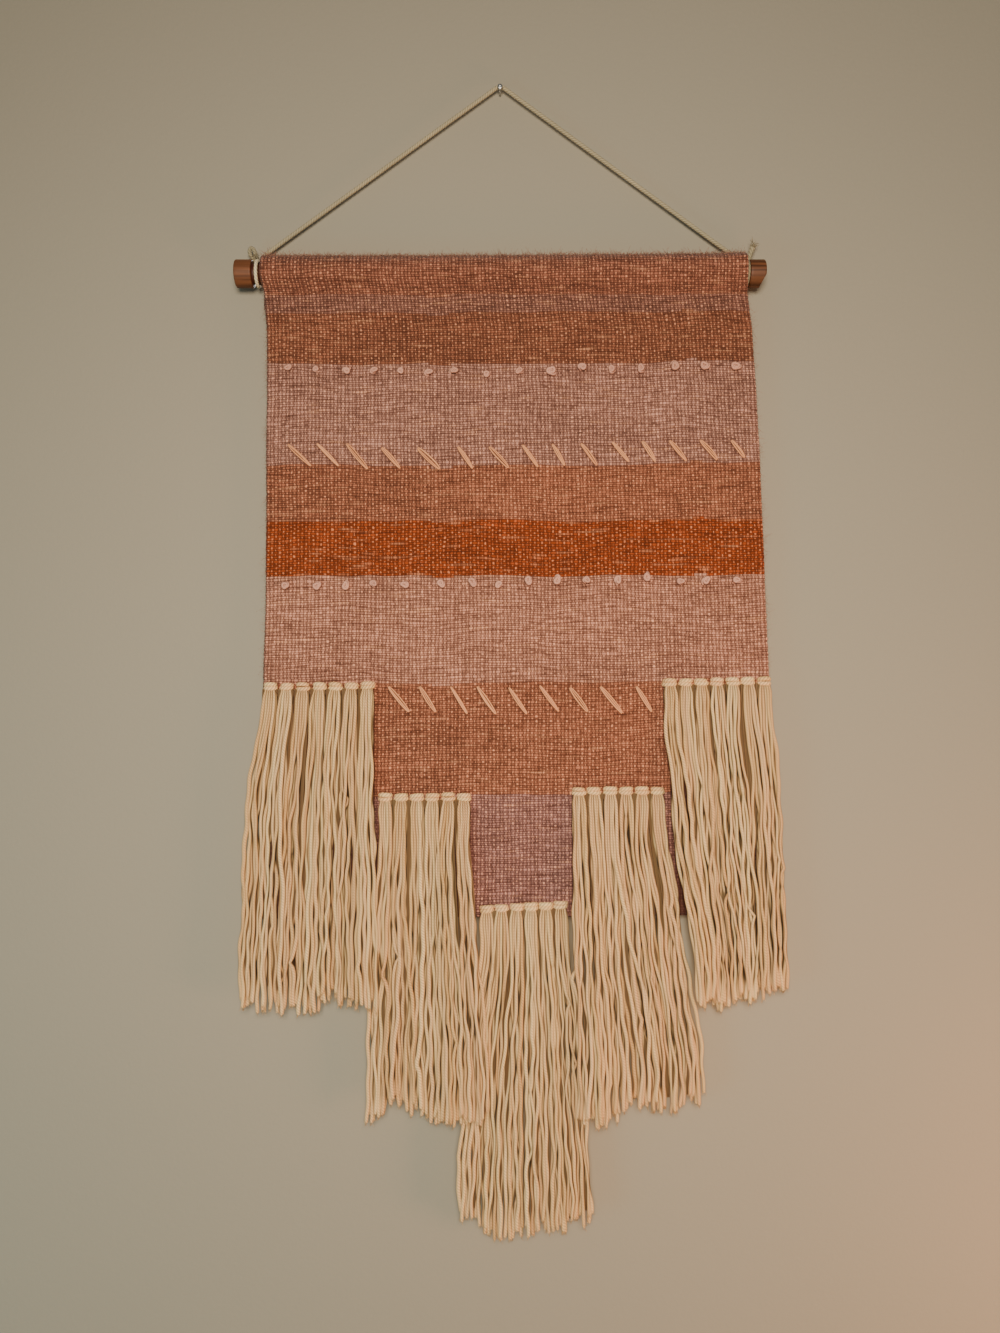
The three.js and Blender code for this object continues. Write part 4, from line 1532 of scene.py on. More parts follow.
    def skin(self, rings: np.ndarray, u: np.ndarray, v: np.ndarray) -> Surface:
        """Faces between neighbouring rings, and strips that close the hem and the seam allowance's edge.

        Args:
            rings: rows by corners by 3, each ring front, right edge, back and left edge.
            u: ends counted at each corner of a ring.
            v: picks counted at each ring.

        Returns:
            The closed surface.
        """
        count, size = rings.shape[:2]
        side = np.arange(size)[None, :]
        after = (side + 1) % size
        wide = np.stack([u[side[0]], u[after[0]], u[after[0]], u[side[0]]], axis=-1)
        tall = v[np.arange(count - 1)[:, None] + np.array([0, 0, 1, 1])]
        uv = np.stack(np.broadcast_arrays(wide[None], tall[:, None]), axis=-1).reshape(-1, 4, 2)
        near = np.arange(self.columns - 1)
        far = 2 * self.columns - near
        strip = np.stack([near, far, far - 1, near + 1], axis=-1)
        strip_uv = np.stack([u[strip], np.zeros(strip.shape)], axis=-1)
        top = (count - 1) * size
        closing = np.concatenate([strip, strip[:, ::-1] + top])
        closing_uv = np.concatenate([strip_uv, strip_uv[:, ::-1] + np.array([0.0, v[-1]])])
        left_tip = [2 * self.columns + 1, 2 * self.columns, 0]
        right_tip = [self.columns - 1, self.columns + 1, self.columns]
        tips = np.array([left_tip, right_tip])
        tris = np.concatenate([tips, tips[:, ::-1] + top])
        return Surface(
            rings.reshape(-1, 3),
            np.concatenate([ring_quads(count, size), closing]),
            np.concatenate([uv, closing_uv]),
            tris,
            np.zeros((len(tris), 3, 2)),
        )


# The sewing


@dataclass
class FrenchKnots:
    """Two rows of wound knots: each is a coil of thread pulled down flat on the cloth."""

    first: tuple[Pair, ...] = (
        (-197.3, -278.1), (-171.1, -279.4), (-142.6, -281.2), (-117.1, -280.5), (-92.7, -281.2),
        (-66.3, -282.6), (-42.8, -281.1), (-12.5, -284.0), (18.1, -280.8), (47.9, -281.1), (76.7, -277.5),
        (103.9, -279.4), (131.1, -278.6), (162.5, -276.7), (190.0, -276.3), (218.9, -276.7),
    )
    second: tuple[Pair, ...] = (
        (-197.0, -482.0), (-167.9, -482.5), (-141.4, -482.3), (-115.8, -480.3), (-87.4, -481.4),
        (-54.0, -480.3), (-25.2, -479.2), (-1.1, -481.4), (25.9, -477.5), (52.2, -477.5), (79.5, -477.0),
        (108.2, -477.0), (134.4, -474.2), (165.7, -478.3), (188.5, -477.9), (216.9, -477.0),
    )
    thread: float = 1.4
    reach: float = 3.4
    turns: float = 1.9
    # The first two knots were pulled tighter
    tight: float = 0.8
    # Width and strength of the painted shadow on the cloth under each knot
    shadow_width: float = 2.9
    shadow_strength: float = 0.75
    seed: int = 5
    stations: int = 44

    def build(self, wool: bpy.types.Material) -> bpy.types.Object:
        """Wind all the knots at once.

        A coil's radius grows from the middle with the power 0.7 of its share, times a lobed factor of its
        angle. Its height over the cloth is lowest in the middle, highest over the last full turn, and ends
        tucked under.

        Args:
            wool: the thread's material.

        Returns:
            The piece with all the knots.
        """
        rng = np.random.default_rng(self.seed)
        at = np.array(self.first + self.second)
        count = len(at)
        size = rng.uniform(0.88, 1.14, (count, 1))
        size[:2] *= self.tight
        share = np.linspace(0, 1, self.stations)[None, :]
        angle = TURN * self.turns * share + rng.uniform(0, TURN, (count, 1))
        two_lobes = 0.2 * np.sin(2 * angle + rng.uniform(0, TURN, (count, 1)))
        three_lobes = 0.12 * np.sin(3 * angle + rng.uniform(0, TURN, (count, 1)))
        radius = self.reach * size * (0.06 + 0.94 * share**0.7) * (1 + two_lobes + three_lobes)
        flat = rng.uniform(0.68, 0.95, (count, 1))
        lean = rng.uniform(0, TURN, (count, 1))
        wide, tall = radius * np.cos(angle), radius * np.sin(angle) * flat
        x = at[:, 0:1] + wide * np.cos(lean) - tall * np.sin(lean)
        z = at[:, 1:2] + wide * np.sin(lean) + tall * np.cos(lean)
        stand = 2.2 + 0.7 * ease(0.2, 0.5, share) - 0.9 * ease(0.55, 0.95, share)
        tuck = ease(0.9, 1.0, share) * 2.2
        y = cloth_face(x, z, Side.FRONT) - stand * size + tuck
        radii = self.thread * size * blend(0.8, 1.0, ease(0.1, 0.5, share))
        tone = rng.uniform(0.35, 1.0, count)
        lines = np.stack([x, y, z], axis=-1)
        thread = sweep(lines, radii, 9, (0.0, 1.0, 0.0), tone, plies=0.05, twist=6.0, edge_shade=0.75)
        return make_piece("french_knots", thread, wool, Slot.YARN)

    def press(self, x: np.ndarray, z: np.ndarray) -> np.ndarray:
        """Painted shadow on the cloth where a knot sits: a round dark spot just under it.

        The shade falls off as exp(-(distance / width)^2).

        Args:
            x: the cloth points' x.
            z: the cloth points' z.

        Returns:
            0 in the open to 0.75 under a knot.
        """
        shade = np.zeros(x.shape)
        for knot_x, knot_z in self.first + self.second:
            away = np.hypot(x - knot_x - 0.6, z - knot_z + 1.6)
            shade = np.maximum(shade, self.shadow_strength * np.exp(-((away / self.shadow_width) ** 2)))
        return shade


@dataclass
class SlantStitches:
    """Two rows of straight stitches, each of a few soft threads, and their returns on the back."""

    stitches: tuple[tuple[float, float, float, float], ...] = (
        (-197.0, -349.7, -174.6, -370.8), (-170.3, -348.8, -149.0, -370.8), (-142.8, -348.8, -121.9, -373.8),
        (-110.0, -352.9, -92.3, -373.3), (-76.9, -353.5, -55.3, -374.3), (-39.4, -352.4, -25.3, -373.8),
        (-10.2, -352.4, 8.3, -372.8), (20.4, -350.4, 35.5, -371.8), (48.1, -349.3, 60.1, -370.3),
        (74.7, -348.8, 89.9, -370.2), (103.7, -347.4, 119.4, -366.8), (131.6, -346.8, 144.0, -366.8),
        (156.7, -346.2, 172.9, -366.2), (185.2, -345.7, 201.3, -365.1), (214.2, -346.2, 226.6, -362.9),
        (-101.9, -574.4, -82.2, -598.2), (-73.6, -574.4, -58.1, -598.6), (-45.2, -574.4, -29.3, -600.1),
        (-21.1, -574.4, -3.5, -600.3), (7.8, -575.3, 24.8, -600.5), (35.7, -573.5, 53.9, -598.2),
        (63.1, -575.3, 80.2, -598.2), (91.1, -574.4, 111.8, -599.6), (124.1, -574.1, 138.7, -598.2),
    )
    first_row: int = 15
    threads: int = 3
    thread: float = 0.78
    width: float = 3.0
    # Returns on the back: two threads, close together
    back_threads: int = 2
    back_width: float = 1.1
    # Width and strength of the painted shadow on the cloth beside each stitch
    shadow_width: float = 1.8
    shadow_strength: float = 0.6
    face_seed: int = 21
    back_seed: int = 22

    def bundles(self, ends: np.ndarray, side: Side, seed: int, threads: int, width: float) -> Surface:
        """Threads that dip through the cloth at both ends and lie side by side between.

        A thread's centre is the straight line from start to end, moved across by its place in the bundle
        times the square root of sin(pi * share), and off the cloth by a flat-topped arch.

        Args:
            ends: start x, z and end x, z of each bundle.
            side: the face that the threads lie on.
            seed: seed of the small differences.
            threads: how many threads a bundle has.
            width: width of a bundle in the middle.

        Returns:
            The threads' surface.
        """
        rng = np.random.default_rng(seed)
        count = len(ends)
        share = np.linspace(0, 1, 22)[None, None, :]
        start, end = ends[:, None, None, :2], ends[:, None, None, 2:]
        way = unit(end - start)
        cross = np.stack([-way[..., 1], way[..., 0]], axis=-1)
        lane = (np.arange(threads) / max(threads - 1, 1) - 0.5)[None, :, None]
        lane = lane + rng.normal(0, 0.08, (count, threads, 1))
        spread = width * lane * rng.uniform(0.8, 1.15, (count, 1, 1)) * hump(share, 0.5)
        spread = spread + 0.25 * ripple(share, rng, 3, (count, threads, 1))
        flat = start + (end - start) * share[..., None] + cross * spread[..., None]
        stand = -1.3 + (2.5 + rng.uniform(-0.25, 0.35, (count, threads, 1))) * hump(share, 0.35)
        y = cloth_face(flat[..., 0], flat[..., 1], side) + side.value * stand
        lines = np.stack([flat[..., 0], y, flat[..., 1]], axis=-1).reshape(count * threads, -1, 3)
        taper = 0.7 + 0.3 * hump(share[0], 0.6)
        radii = self.thread * taper * rng.uniform(0.85, 1.15, (len(lines), 1))
        tone = rng.uniform(0.3, 1.0, len(lines))
        return sweep(lines, radii, 8, (0.0, 1.0, 0.0), tone, edge_shade=0.8)

    def press(self, x: np.ndarray, z: np.ndarray) -> np.ndarray:
        """Painted shadow on the cloth along a stitch: exp(-(distance from its lower side / width)^2).

        Args:
            x: the cloth points' x.
            z: the cloth points' z.

        Returns:
            0 in the open to 0.6 beside a stitch.
        """
        shade = np.zeros(x.shape)
        for start_x, start_z, end_x, end_z in self.stitches:
            way_x, way_z = end_x - start_x, end_z - start_z
            along = ((x - start_x) * way_x + (z - start_z) * way_z) / (way_x**2 + way_z**2)
            along = np.clip(along, 0.0, 1.0)
            away = np.hypot(x - start_x - along * way_x + 1.2, z - start_z - along * way_z + 0.9)
            shade = np.maximum(shade, self.shadow_strength * np.exp(-((away / self.shadow_width) ** 2)))
        return shade

    def build(self, wool: bpy.types.Material, knots: FrenchKnots) -> list[bpy.types.Object]:
        """Make the stitches on the face, and on the back the runs from one stitch or knot to the next.

        Args:
            wool: the thread's material.
            knots: the knots whose thread is carried on the back too.

        Returns:
            The pieces on the face and on the back.
        """
        ends = np.array(self.stitches)
        face = self.bundles(ends, Side.FRONT, self.face_seed, self.threads, self.width)
        runs = []
        for row in (ends[: self.first_row], ends[self.first_row :]):
            runs.append(np.concatenate([row[:-1, 2:], row[1:, :2]], axis=1))
        for row in (np.array(knots.first), np.array(knots.second)):
            runs.append(np.concatenate([row[:-1], row[1:]], axis=1))
        every_run = np.concatenate(runs)
        back = self.bundles(every_run, Side.BACK, self.back_seed, self.back_threads, self.back_width)
        return [
            make_piece("slant_stitches", face, wool, Slot.YARN),
            make_piece("sewing_on_the_back", back, wool, Slot.YARN),
        ]


@dataclass
class PocketSewing:
    """The row of small slanted hand stitches that holds the seam allowance down on the back."""

    pitch: float = 7.5
    left: float = -214.0
    right: float = 228.0
    z: float = -218.6
    tall: float = 5.4
    thread: float = 0.5
    seed: int = 9

    def build(self, wool: bpy.types.Material) -> bpy.types.Object:
        """Lay one short thread over the allowance's edge at each pitch.

        A thread leans to the right, arches off the cloth by sin(pi * share)^0.5, and climbs by the
        allowance's thickness where it crosses its edge.

        Args:
            wool: the thread's material.

        Returns:
            The piece with all the stitches.
        """
        rng = np.random.default_rng(self.seed)
        x = np.arange(self.left, self.right, self.pitch)
        count = len(x)
        x = (x + rng.uniform(-1, 1, count))[:, None]
        share = np.linspace(0, 1, 14)[None, :]
        lean = rng.uniform(2.4, 4.2, (count, 1))
        across = x + lean * (share - 0.5)
        up = self.z + rng.uniform(-0.4, 0.4, (count, 1)) + self.tall * (0.5 - share)
        over_edge = (CLOTH_THICK + 0.4) * ease(0.62, 0.4, share)
        y = ROD_Y + CLOTH_THICK / 2 - 0.9 + 1.5 * hump(share, 0.5) + over_edge
        lines = np.stack(np.broadcast_arrays(across, y, up), axis=-1)
        radii = np.full(across.shape, self.thread)
        thread = sweep(lines, radii, 7, (1.0, 0.2, 0.0), tone=rng.uniform(0.3, 0.8, count))
        return make_piece("pocket_sewing", thread, wool, Slot.CLOTH)


# The fringe


@dataclass(frozen=True)
class Group:
    """One group of hitched yarns. Sides are given at the knots, half way and near the tips."""

    node: str
    knots: int
    first: Pair
    last: Pair
    top: Pair
    middle: Pair
    low: Pair
    tips: tuple[float, ...]
    # Shares of the width between which the group climbs on to its neighbour, and of the length
    over: Pair
    climb: Pair


@dataclass
class Fringe:
    """Doubled yarns, hitched to the cloth's face, that hang in locks and open out below."""

    groups: tuple[Group, ...] = (
        Group(
            "fringe_left_outer", 7, (-208.7, -575.4), (-120.5, -574.6), (-218.4, -113.2), (-227.2, -111.6),
            (-231.6, -110.0), (-857, -861, -857, -851, -860), (0.78, 0.93), (0.08, 0.42),
        ),
        Group(
            "fringe_right_outer", 7, (154.7, -571.7), (239.7, -569.9), (148.0, 248.0), (156.0, 252.8),
            (174.6, 255.0), (-850, -856, -852, -844, -846), (0.2, 0.06), (0.08, 0.42),
        ),
        Group(
            "fringe_left_middle", 6, (-103.2, -675.1), (-32.3, -675.1), (-109.0, -26.6), (-113.6, -19.4),
            (-117.6, -12.4), (-954, -946, -951, -957, -951), (0.56, 0.74), (0.04, 0.34),
        ),
        Group(
            "fringe_right_middle", 6, (70.6, -669.3), (142.0, -669.3), (64.6, 148.2), (64.0, 162.0),
            (69.0, 179.0), (-955, -950, -942, -943, -938), (0.34, 0.16), (0.04, 0.34),
        ),
        Group(
            "fringe_centre", 6, (-11.7, -774.0), (54.2, -770.6), (-18.0, 60.6), (-29.0, 70.4),
            (-36.8, 80.0), (-1038, -1052, -1054, -1047, -1044), (2.0, 3.0), (0.0, 1.0),
        ),
    )
    yarn: float = 1.62
    ends_across: int = 5
    stations: int = 68
    sides: int = 8
    # How far a yarn stands out where it lies on the next group
    over: float = 7.2
    # Shares of the yarns that have a kink, and that hang astray in front
    kinked_share: float = 0.22
    stray_share: float = 0.09
    # Height, and fewest and most turns down the length, of each fine wave
    fine_waves: tuple[Triple, ...] = ((0.8, 1.8, 4.5), (0.55, 5.0, 10.0))
    hairs_each: int = 5
    hair: float = 0.16
    inner_each: int = 4
    inner_stations: int = 26
    inner_sides: int = 6
    inner_shade: float = 0.82
    # The lower and the upper turn of a hitch: half width, height over the knot's middle, bow and thickness
    turn_half: Pair = (4.5, 4.7)
    turn_height: Pair = (1.95, -1.55)
    turn_bow: Pair = (4.6, 4.1)
    turn_thick: float = 2.0
    turn_reach: float = 96.0
    bar_half: float = 4.4
    bar_apart: float = 1.4
    bar_thick: float = 1.35
    first_strand_seed: int = 40
    first_hitch_seed: int = 60

    def sides_at(self, group: Group, share: np.ndarray) -> tuple[np.ndarray, np.ndarray]:
        """X of a group's left and right side, eased from its knots to half way and on to its tips.

        Args:
            group: the group's table row.
            share: places down its length, from 0 to 1.

        Returns:
            The left side's x and the right side's x at each place.
        """
        upper, lower = ease(0, 0.5, share), ease(0.42, 0.95, share)
        left = blend(blend(group.top[0], group.middle[0], upper), group.low[0], lower)
        right = blend(blend(group.top[1], group.middle[1], upper), group.low[1], lower)
        return left, right

    def waves(self, share: np.ndarray, own_knot: np.ndarray, rng: np.random.Generator) -> np.ndarray:
        """Sideways waves of the yarns, which grow from nothing at the knots.

        Each is the lock's smooth random curve, plus the yarn's own, plus two fine sines.

        Args:
            share: places down the length, from 0 to 1.
            own_knot: number of each yarn's knot.
            rng: seeded source of the curves.

        Returns:
            The way along X at each station of each yarn.
        """
        count = len(own_knot)
        lock_wave = ripple(share, rng, 3, (int(own_knot.max()) + 1, 1))[own_knot]
        wave = 3.0 * ripple(share, rng, 6, (count, 1)) + 2.2 * lock_wave * (1 - 0.6 * ease(0.4, 0.8, share))
        for height, fewest, most in self.fine_waves:
            turns = rng.uniform(fewest, most, (count, 1))
            wave = wave + height * np.sin(TURN * (turns * share + rng.uniform(0, 1, (count, 1))))
        return wave * (0.45 * ease(0.01, 0.09, share) + 0.55 * ease(0.08, 0.45, share))

    def strands(self, group: Group, seed: int) -> Surface:
        """All the yarn ends of one group.

        A yarn's x goes from its place in the knot to its place in the lock, and then to its place in the
        spread of the group, plus smooth random waves and now and then a kink, both of which grow downwards.
        Its y is its layer in front of the cloth, plus the climb on to the next group. Its z runs from the
        knot to a ragged tip.

        Args:
            group: the group's table row.
            seed: seed of its waves.

        Returns:
            The yarns' surface, with painted shade where they press together, and loose hairs at their tips.
        """
        rng = np.random.default_rng(seed)
        table = np.meshgrid(np.arange(group.knots), (0, 1), np.arange(self.ends_across), indexing="ij")
        knot, layer, lane = (index.reshape(-1, 1).astype(float) for index in table)
        count = len(knot)
        own_knot = knot[:, 0].astype(int)
        share = np.linspace(0, 1, self.stations)[None, :]
        across = (knot + (lane + 0.5) / self.ends_across) / group.knots
        knot_share = knot / (group.knots - 1)
        knot_x = blend(group.first[0], group.last[0], knot_share)
        knot_z = blend(group.first[1], group.last[1], knot_share)
        left, right = self.sides_at(group, share)
        pitch = (right - left) / (group.knots * self.ends_across)
        # The two layers lie half a yarn apart
        inward = group.over[0] > group.over[1]
        offset = np.where(layer > 0, 0.25, 0.75)
        offset = 1 - offset if inward else offset
        spread = left + pitch * (knot * self.ends_across + lane + offset)
        place = (lane + 0.5 + 0.5 * (offset - 0.5)) / self.ends_across - 0.5
        centre = left + pitch * self.ends_across * (knot + 0.5)
        lock_width = 8.0 + 3.4 * ease(0.0, 0.035, share) + 1.4 * ease(0.08, 0.3, share)
        lean = rng.normal(0, 1.5, (group.knots, 1))[own_knot] * ease(0.02, 0.2, share)
        lock_x = blend(knot_x, centre, ease(0.0, 0.3, share)) + place * lock_width + lean
        x = blend(lock_x, spread, ease(0.2, 0.7, share)) + self.waves(share, own_knot, rng)
        bent = rng.uniform(0.3, 0.95, (count, 1))
        kink = np.exp(-np.abs(share - bent) / 0.022) * rng.normal(0, 3.2, (count, 1))
        kink = kink * (rng.uniform(0, 1, (count, 1)) < self.kinked_share)
        stray = (rng.uniform(0, 1, (count, 1)) < self.stray_share) * (layer > 0)
        x = x + stray * rng.normal(0, 8.0, (count, 1)) * ease(0.15, 0.8, share)
        x = np.clip(x + kink, left - 1.6, right + 1.6)
        tips = np.interp(across, np.linspace(0, 1, len(group.tips)), np.array(group.tips, float))
        tip_z = tips + rng.uniform(-6.0, 5.5, (count, 1)) + 2.6 * rng.normal(0, 1, (group.knots, 1))[own_knot]
        z = blend(knot_z - 1.0, tip_z, share)
        leaving = ease(0, 0.05, share)
        depth = np.where(layer > 0, blend(2.6, 5.1, leaving), blend(1.6, 2.0, leaving))
        depth = depth + 2.2 * ripple(share, rng, 8, (count, 1)) * ease(0.03, 0.3, share) + 0.5
        depth = depth + stray * 2.2 * ease(0.12, 0.3, share)
        climb_share = (across - group.over[0]) / (group.over[1] - group.over[0])
        climb = ease(0.0, 1.0, climb_share) * ease(group.climb[0], group.climb[1], share)
        y = cloth_face(x, z, Side.FRONT) - np.clip(depth, 0.4 + self.yarn, 9.0) - self.over * climb
        girth = 1 + 0.15 * ripple(share, rng, 16, (count, 1)) + rng.normal(0, 0.08, (count, 1))
        taper = blend(0.8, 1.0, ease(0.0, 0.06, share)) * blend(1.0, 0.92, ease(0.975, 1.0, share))
        radii = self.yarn * girth * taper
        lines = np.stack([x, y, z], axis=-1)
        surface = sweep(lines, radii, self.sides, (0.0, 1.0, 0.0), tone=rng.uniform(0.0, 1.0, count))
        # Painted shade between the yarns
        surface.crease = self.creases(surface.points.reshape(count, -1, 3), lines, radii)
        return merged([surface, self.tip_hairs(lines, rng), self.inner(group, left, right, tips.min(), rng)])

    def inner(
        self, group: Group, left: np.ndarray, right: np.ndarray, lowest: float, rng: np.random.Generator
    ) -> Surface:
        """The yarns at the back of the group, which show only as shade between the others.

        A yarn stays at its own share of the way from the group's left side to its right side, with a slow
        wave, and ends a little above the tips in front of it.

        Args:
            group: the group's table row.
            left: the group's left side, one number for each station of its yarns.
            right: the group's right side.
            lowest: z of the lowest tip.
            rng: seeded source of the waves.

        Returns:
            The yarns' surface, with painted shade on its front.
        """
        count = group.knots * self.inner_each
        share = np.linspace(0, 1, self.inner_stations)[None, :]
        own = (np.arange(count)[:, None] + 0.5) / count
        sides = [np.interp(share, np.linspace(0, 1, left.shape[1]), side[0]) for side in (left, right)]
        slow = 1.2 * ripple(share, rng, 4, (count, 1)) * ease(0.0, 0.2, share)
        x = blend(sides[0] + 2.0, sides[1] - 2.0, own) + slow
        knot_z = blend(group.first[1], group.last[1], own)
        z = blend(knot_z - 2.0, lowest + rng.uniform(12.0, 30.0, (count, 1)), share)
        y = cloth_face(x, z, Side.FRONT) - 0.3 - self.yarn
        radii = np.full(x.shape, self.yarn * 0.95)
        lines = np.stack([x, y, z], axis=-1)
        tone = rng.uniform(0.0, 0.6, count)
        surface = sweep(lines, radii, self.inner_sides, (0.0, 1.0, 0.0), tone)
        front = ease(-0.5, 0.5, np.sin(TURN * np.arange(self.inner_sides) / self.inner_sides))
        rings = np.tile(self.inner_shade * front, self.inner_stations)
        surface.crease = np.tile(np.concatenate([rings, [0.0, 0.0]]), count)
        return surface

    def creases(self, points: np.ndarray, lines: np.ndarray, radii: np.ndarray) -> np.ndarray:
        """Painted shade: how deep each surface point lies between the other yarns, from 0 in the open to
        almost 1.

        At each station, another yarn that lies in front of the point hides it by exp(-(dx / 2)^2), and a
        yarn whose skin is near presses on it by exp(-distance / 0.7). The two sums are added and capped.

        Args:
            points: yarns by points by 3, the rings first and two end points last.
            lines: yarns by stations by 3.
            radii: yarns by stations.

        Returns:
            One number for each point, in the surface's order.
        """
        count, stations = radii.shape
        rings = points[:, : stations * self.sides].reshape(count, stations, self.sides, 3)
        total = np.zeros((count, stations, self.sides))
        for other in range(count):
            dx = rings[..., 0] - lines[other, None, :, None, 0]
            dy = rings[..., 1] - lines[other, None, :, None, 1]
            gap = np.maximum(np.hypot(dx, dy) - radii[other][None, :, None], 0.0)
            shut = 0.55 * np.exp(-((dx / 2.0) ** 2)) * ease(0.3, 2.2, dy) + 0.3 * np.exp(-gap / 0.7)
            shut[other] = 0.0
            total += shut
        angle = TURN * np.arange(self.sides) / self.sides
        sideways = np.cos(angle) ** 2
        crowded = np.clip(total.mean(axis=2, keepdims=True) * 3.0, 0.35, 1.0)
        open_tip = 1 - 0.9 * ease(0.93, 0.985, np.linspace(0, 1, stations))[None, :, None]
        forward = blend(0.3, 1.0, ease(-0.9, -0.2, np.sin(angle)))
        shade = np.clip(1.1 * (total - 0.18) + sideways * crowded, 0.0, 0.97) * open_tip * forward
        ends = np.stack([shade[:, 0].mean(axis=1), np.zeros(count)], axis=1)
        return np.concatenate([shade.reshape(count, -1), ends], axis=1).ravel()

    def tip_hairs(self, lines: np.ndarray, rng: np.random.Generator) -> Surface:
        """A few loose hairs where each yarn was cut: they spread with the power 1.5 of the way along.

        Args:
            lines: the yarns' centre lines.
            rng: seeded source of their places and directions.

        Returns:
            The hairs' surface.
        """
        count = len(lines) * self.hairs_each
        flatter = np.array([1.0, 0.6, 0.3])
        tip = np.repeat(lines[:, -1], self.hairs_each, axis=0)[:, None]
        way = unit(np.repeat(lines[:, -1] - lines[:, -3], self.hairs_each, axis=0)[:, None])
        start = tip + rng.normal(0, 0.8, (count, 1, 3)) * flatter
        share = np.linspace(0, 1, 4)[None, :, None]
        spread = rng.normal(0, 0.3, (count, 1, 3)) * flatter
        hairs = start + rng.uniform(1.2, 3.6, (count, 1, 1)) * (way * share + spread * share**1.5)
        radii = np.full((count, 4), self.hair)
        return sweep(hairs, radii, 3, (0.0, 1.0, 0.0), tone=rng.uniform(0.2, 0.8, count))

    def hitches(self, group: Group, seed: int) -> Surface:
        """The knot heads: two turns of yarn that lie across each lock and bend round it into the cloth.

        A turn's line is half an ellipse: x = centre + half * sin(a) and y = face - 0.3 - bow * cos(a).
        The upper turn is the pulled loop and stands out a little more.

        Args:
            group: the group's table row.
            seed: seed of the small differences.

        Returns:
            The turns' surface.
        """
        rng = np.random.default_rng(seed)
        knot = np.repeat(np.arange(group.knots), 2)[:, None]
        turn = np.tile(np.arange(2), group.knots)[:, None]
        knot_share = knot / (group.knots - 1)
        middle_x = blend(group.first[0], group.last[0], knot_share) + rng.normal(0, 0.35, knot.shape)
        middle_z = blend(group.first[1], group.last[1], knot_share) + rng.normal(0, 0.3, knot.shape)
        angle = np.linspace(-1, 1, 21)[None, :] * math.radians(self.turn_reach)
        half = np.choose(turn, self.turn_half) * rng.uniform(0.94, 1.08, knot.shape)
        x = middle_x + half * np.sin(angle)
        tilt = rng.normal(0, 0.2, knot.shape)
        off_middle = np.choose(turn, self.turn_height) * blend(0.72, 1.0, np.cos(angle))
        z = middle_z + off_middle + tilt * np.sin(angle)
        bow = np.choose(turn, self.turn_bow) * rng.uniform(0.93, 1.07, knot.shape)
        y = cloth_face(x, z, Side.FRONT) - 0.3 - bow * np.cos(angle)
        lines = np.stack([x, y, z], axis=-1)
        radii = np.full(x.shape, self.turn_thick) * rng.uniform(0.94, 1.08, knot.shape)
        tone = rng.uniform(0.3, 0.9, len(lines))
        return sweep(lines, radii, 10, (0.1, 0.0, 1.0), tone, plies=0.04, twist=9.0)

    def cover(self, x: np.ndarray, z: np.ndarray) -> np.ndarray:
        """How much painted shade the hanging yarns put on a point of the cloth's face.

        A group covers a point between its two sides, with soft edges 5 mm wide, and from just under its
        knots down.

        Args:
            x: the points' x.
            z: the points' z.

        Returns:
            0 in the open to 1 behind a group.
        """
        shade = np.zeros(np.broadcast_shapes(x.shape, z.shape))
        for group in self.groups:
            knot_z = blend(group.first[1], group.last[1], ease(group.top[0], group.top[1], x))
            half_way = (np.mean(group.tips) + group.first[1]) / 2
            heights = (half_way, group.first[1])
            left = np.interp(z, heights, (group.middle[0], group.top[0]))
            right = np.interp(z, heights, (group.middle[1], group.top[1]))
            inside = ease(-2.0, 3.0, x - left) * ease(-2.0, 3.0, right - x) * ease(-1.0, -5.0, z - knot_z)
            shade = np.maximum(shade, inside)
        return shade

    def bars(self, group: Group) -> Surface:
        """On the cloth's back, the short bar of doubled yarn that each hitch pulls through.

        A bar's y is flat in the middle and dips into the cloth with the third power of the way out.

        Args:
            group: the group's table row.

        Returns:
            The bars' surface.
        """
        rng = np.random.default_rng(len(group.node))
        knot = np.repeat(np.arange(group.knots), 2)[:, None]
        row = np.tile(np.array([-self.bar_apart, self.bar_apart]), group.knots)[:, None]
        knot_share = knot / (group.knots - 1)
        out = np.linspace(-1, 1, 13)[None, :]
        x = blend(group.first[0], group.last[0], knot_share) + self.bar_half * out
        middle_z = blend(group.first[1], group.last[1], knot_share)
        z = middle_z + row + rng.normal(0, 0.25, knot.shape) + 0.3 * out
        y = cloth_face(x, z, Side.BACK) - 1.2 + 2.2 * (1 - np.abs(out) ** 3)
        lines = np.stack([x, y, z], axis=-1)
        return sweep(lines, np.full(x.shape, self.bar_thick), 8, (0.1, 0.0, 1.0))

    def build(self, wool: bpy.types.Material) -> list[bpy.types.Object]:
        """Make one piece for each group's yarns, and one for all the bars on the back.

        Args:
            wool: the yarn's material.

        Returns:
            The pieces, the bars last.
        """
        pieces = []
        for number, group in enumerate(self.groups):
            yarns = self.strands(group, self.first_strand_seed + number)
            heads = self.hitches(group, self.first_hitch_seed + number)
            piece = make_piece(f"{group.node}_yarns", merged([yarns, heads]), wool, Slot.YARN)
            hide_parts(group.node)
            pieces.append(piece)
        bars = merged([self.bars(group) for group in self.groups])
        pieces.append(make_piece("hitch_bars_on_the_back", bars, wool, Slot.YARN))
        return pieces


# The fibre haze


@dataclass
class Fibres:
    """Loose fibres, one row for each: where it is rooted, its direction and its length."""

    roots: np.ndarray
    ways: np.ndarray
    lengths: np.ndarray


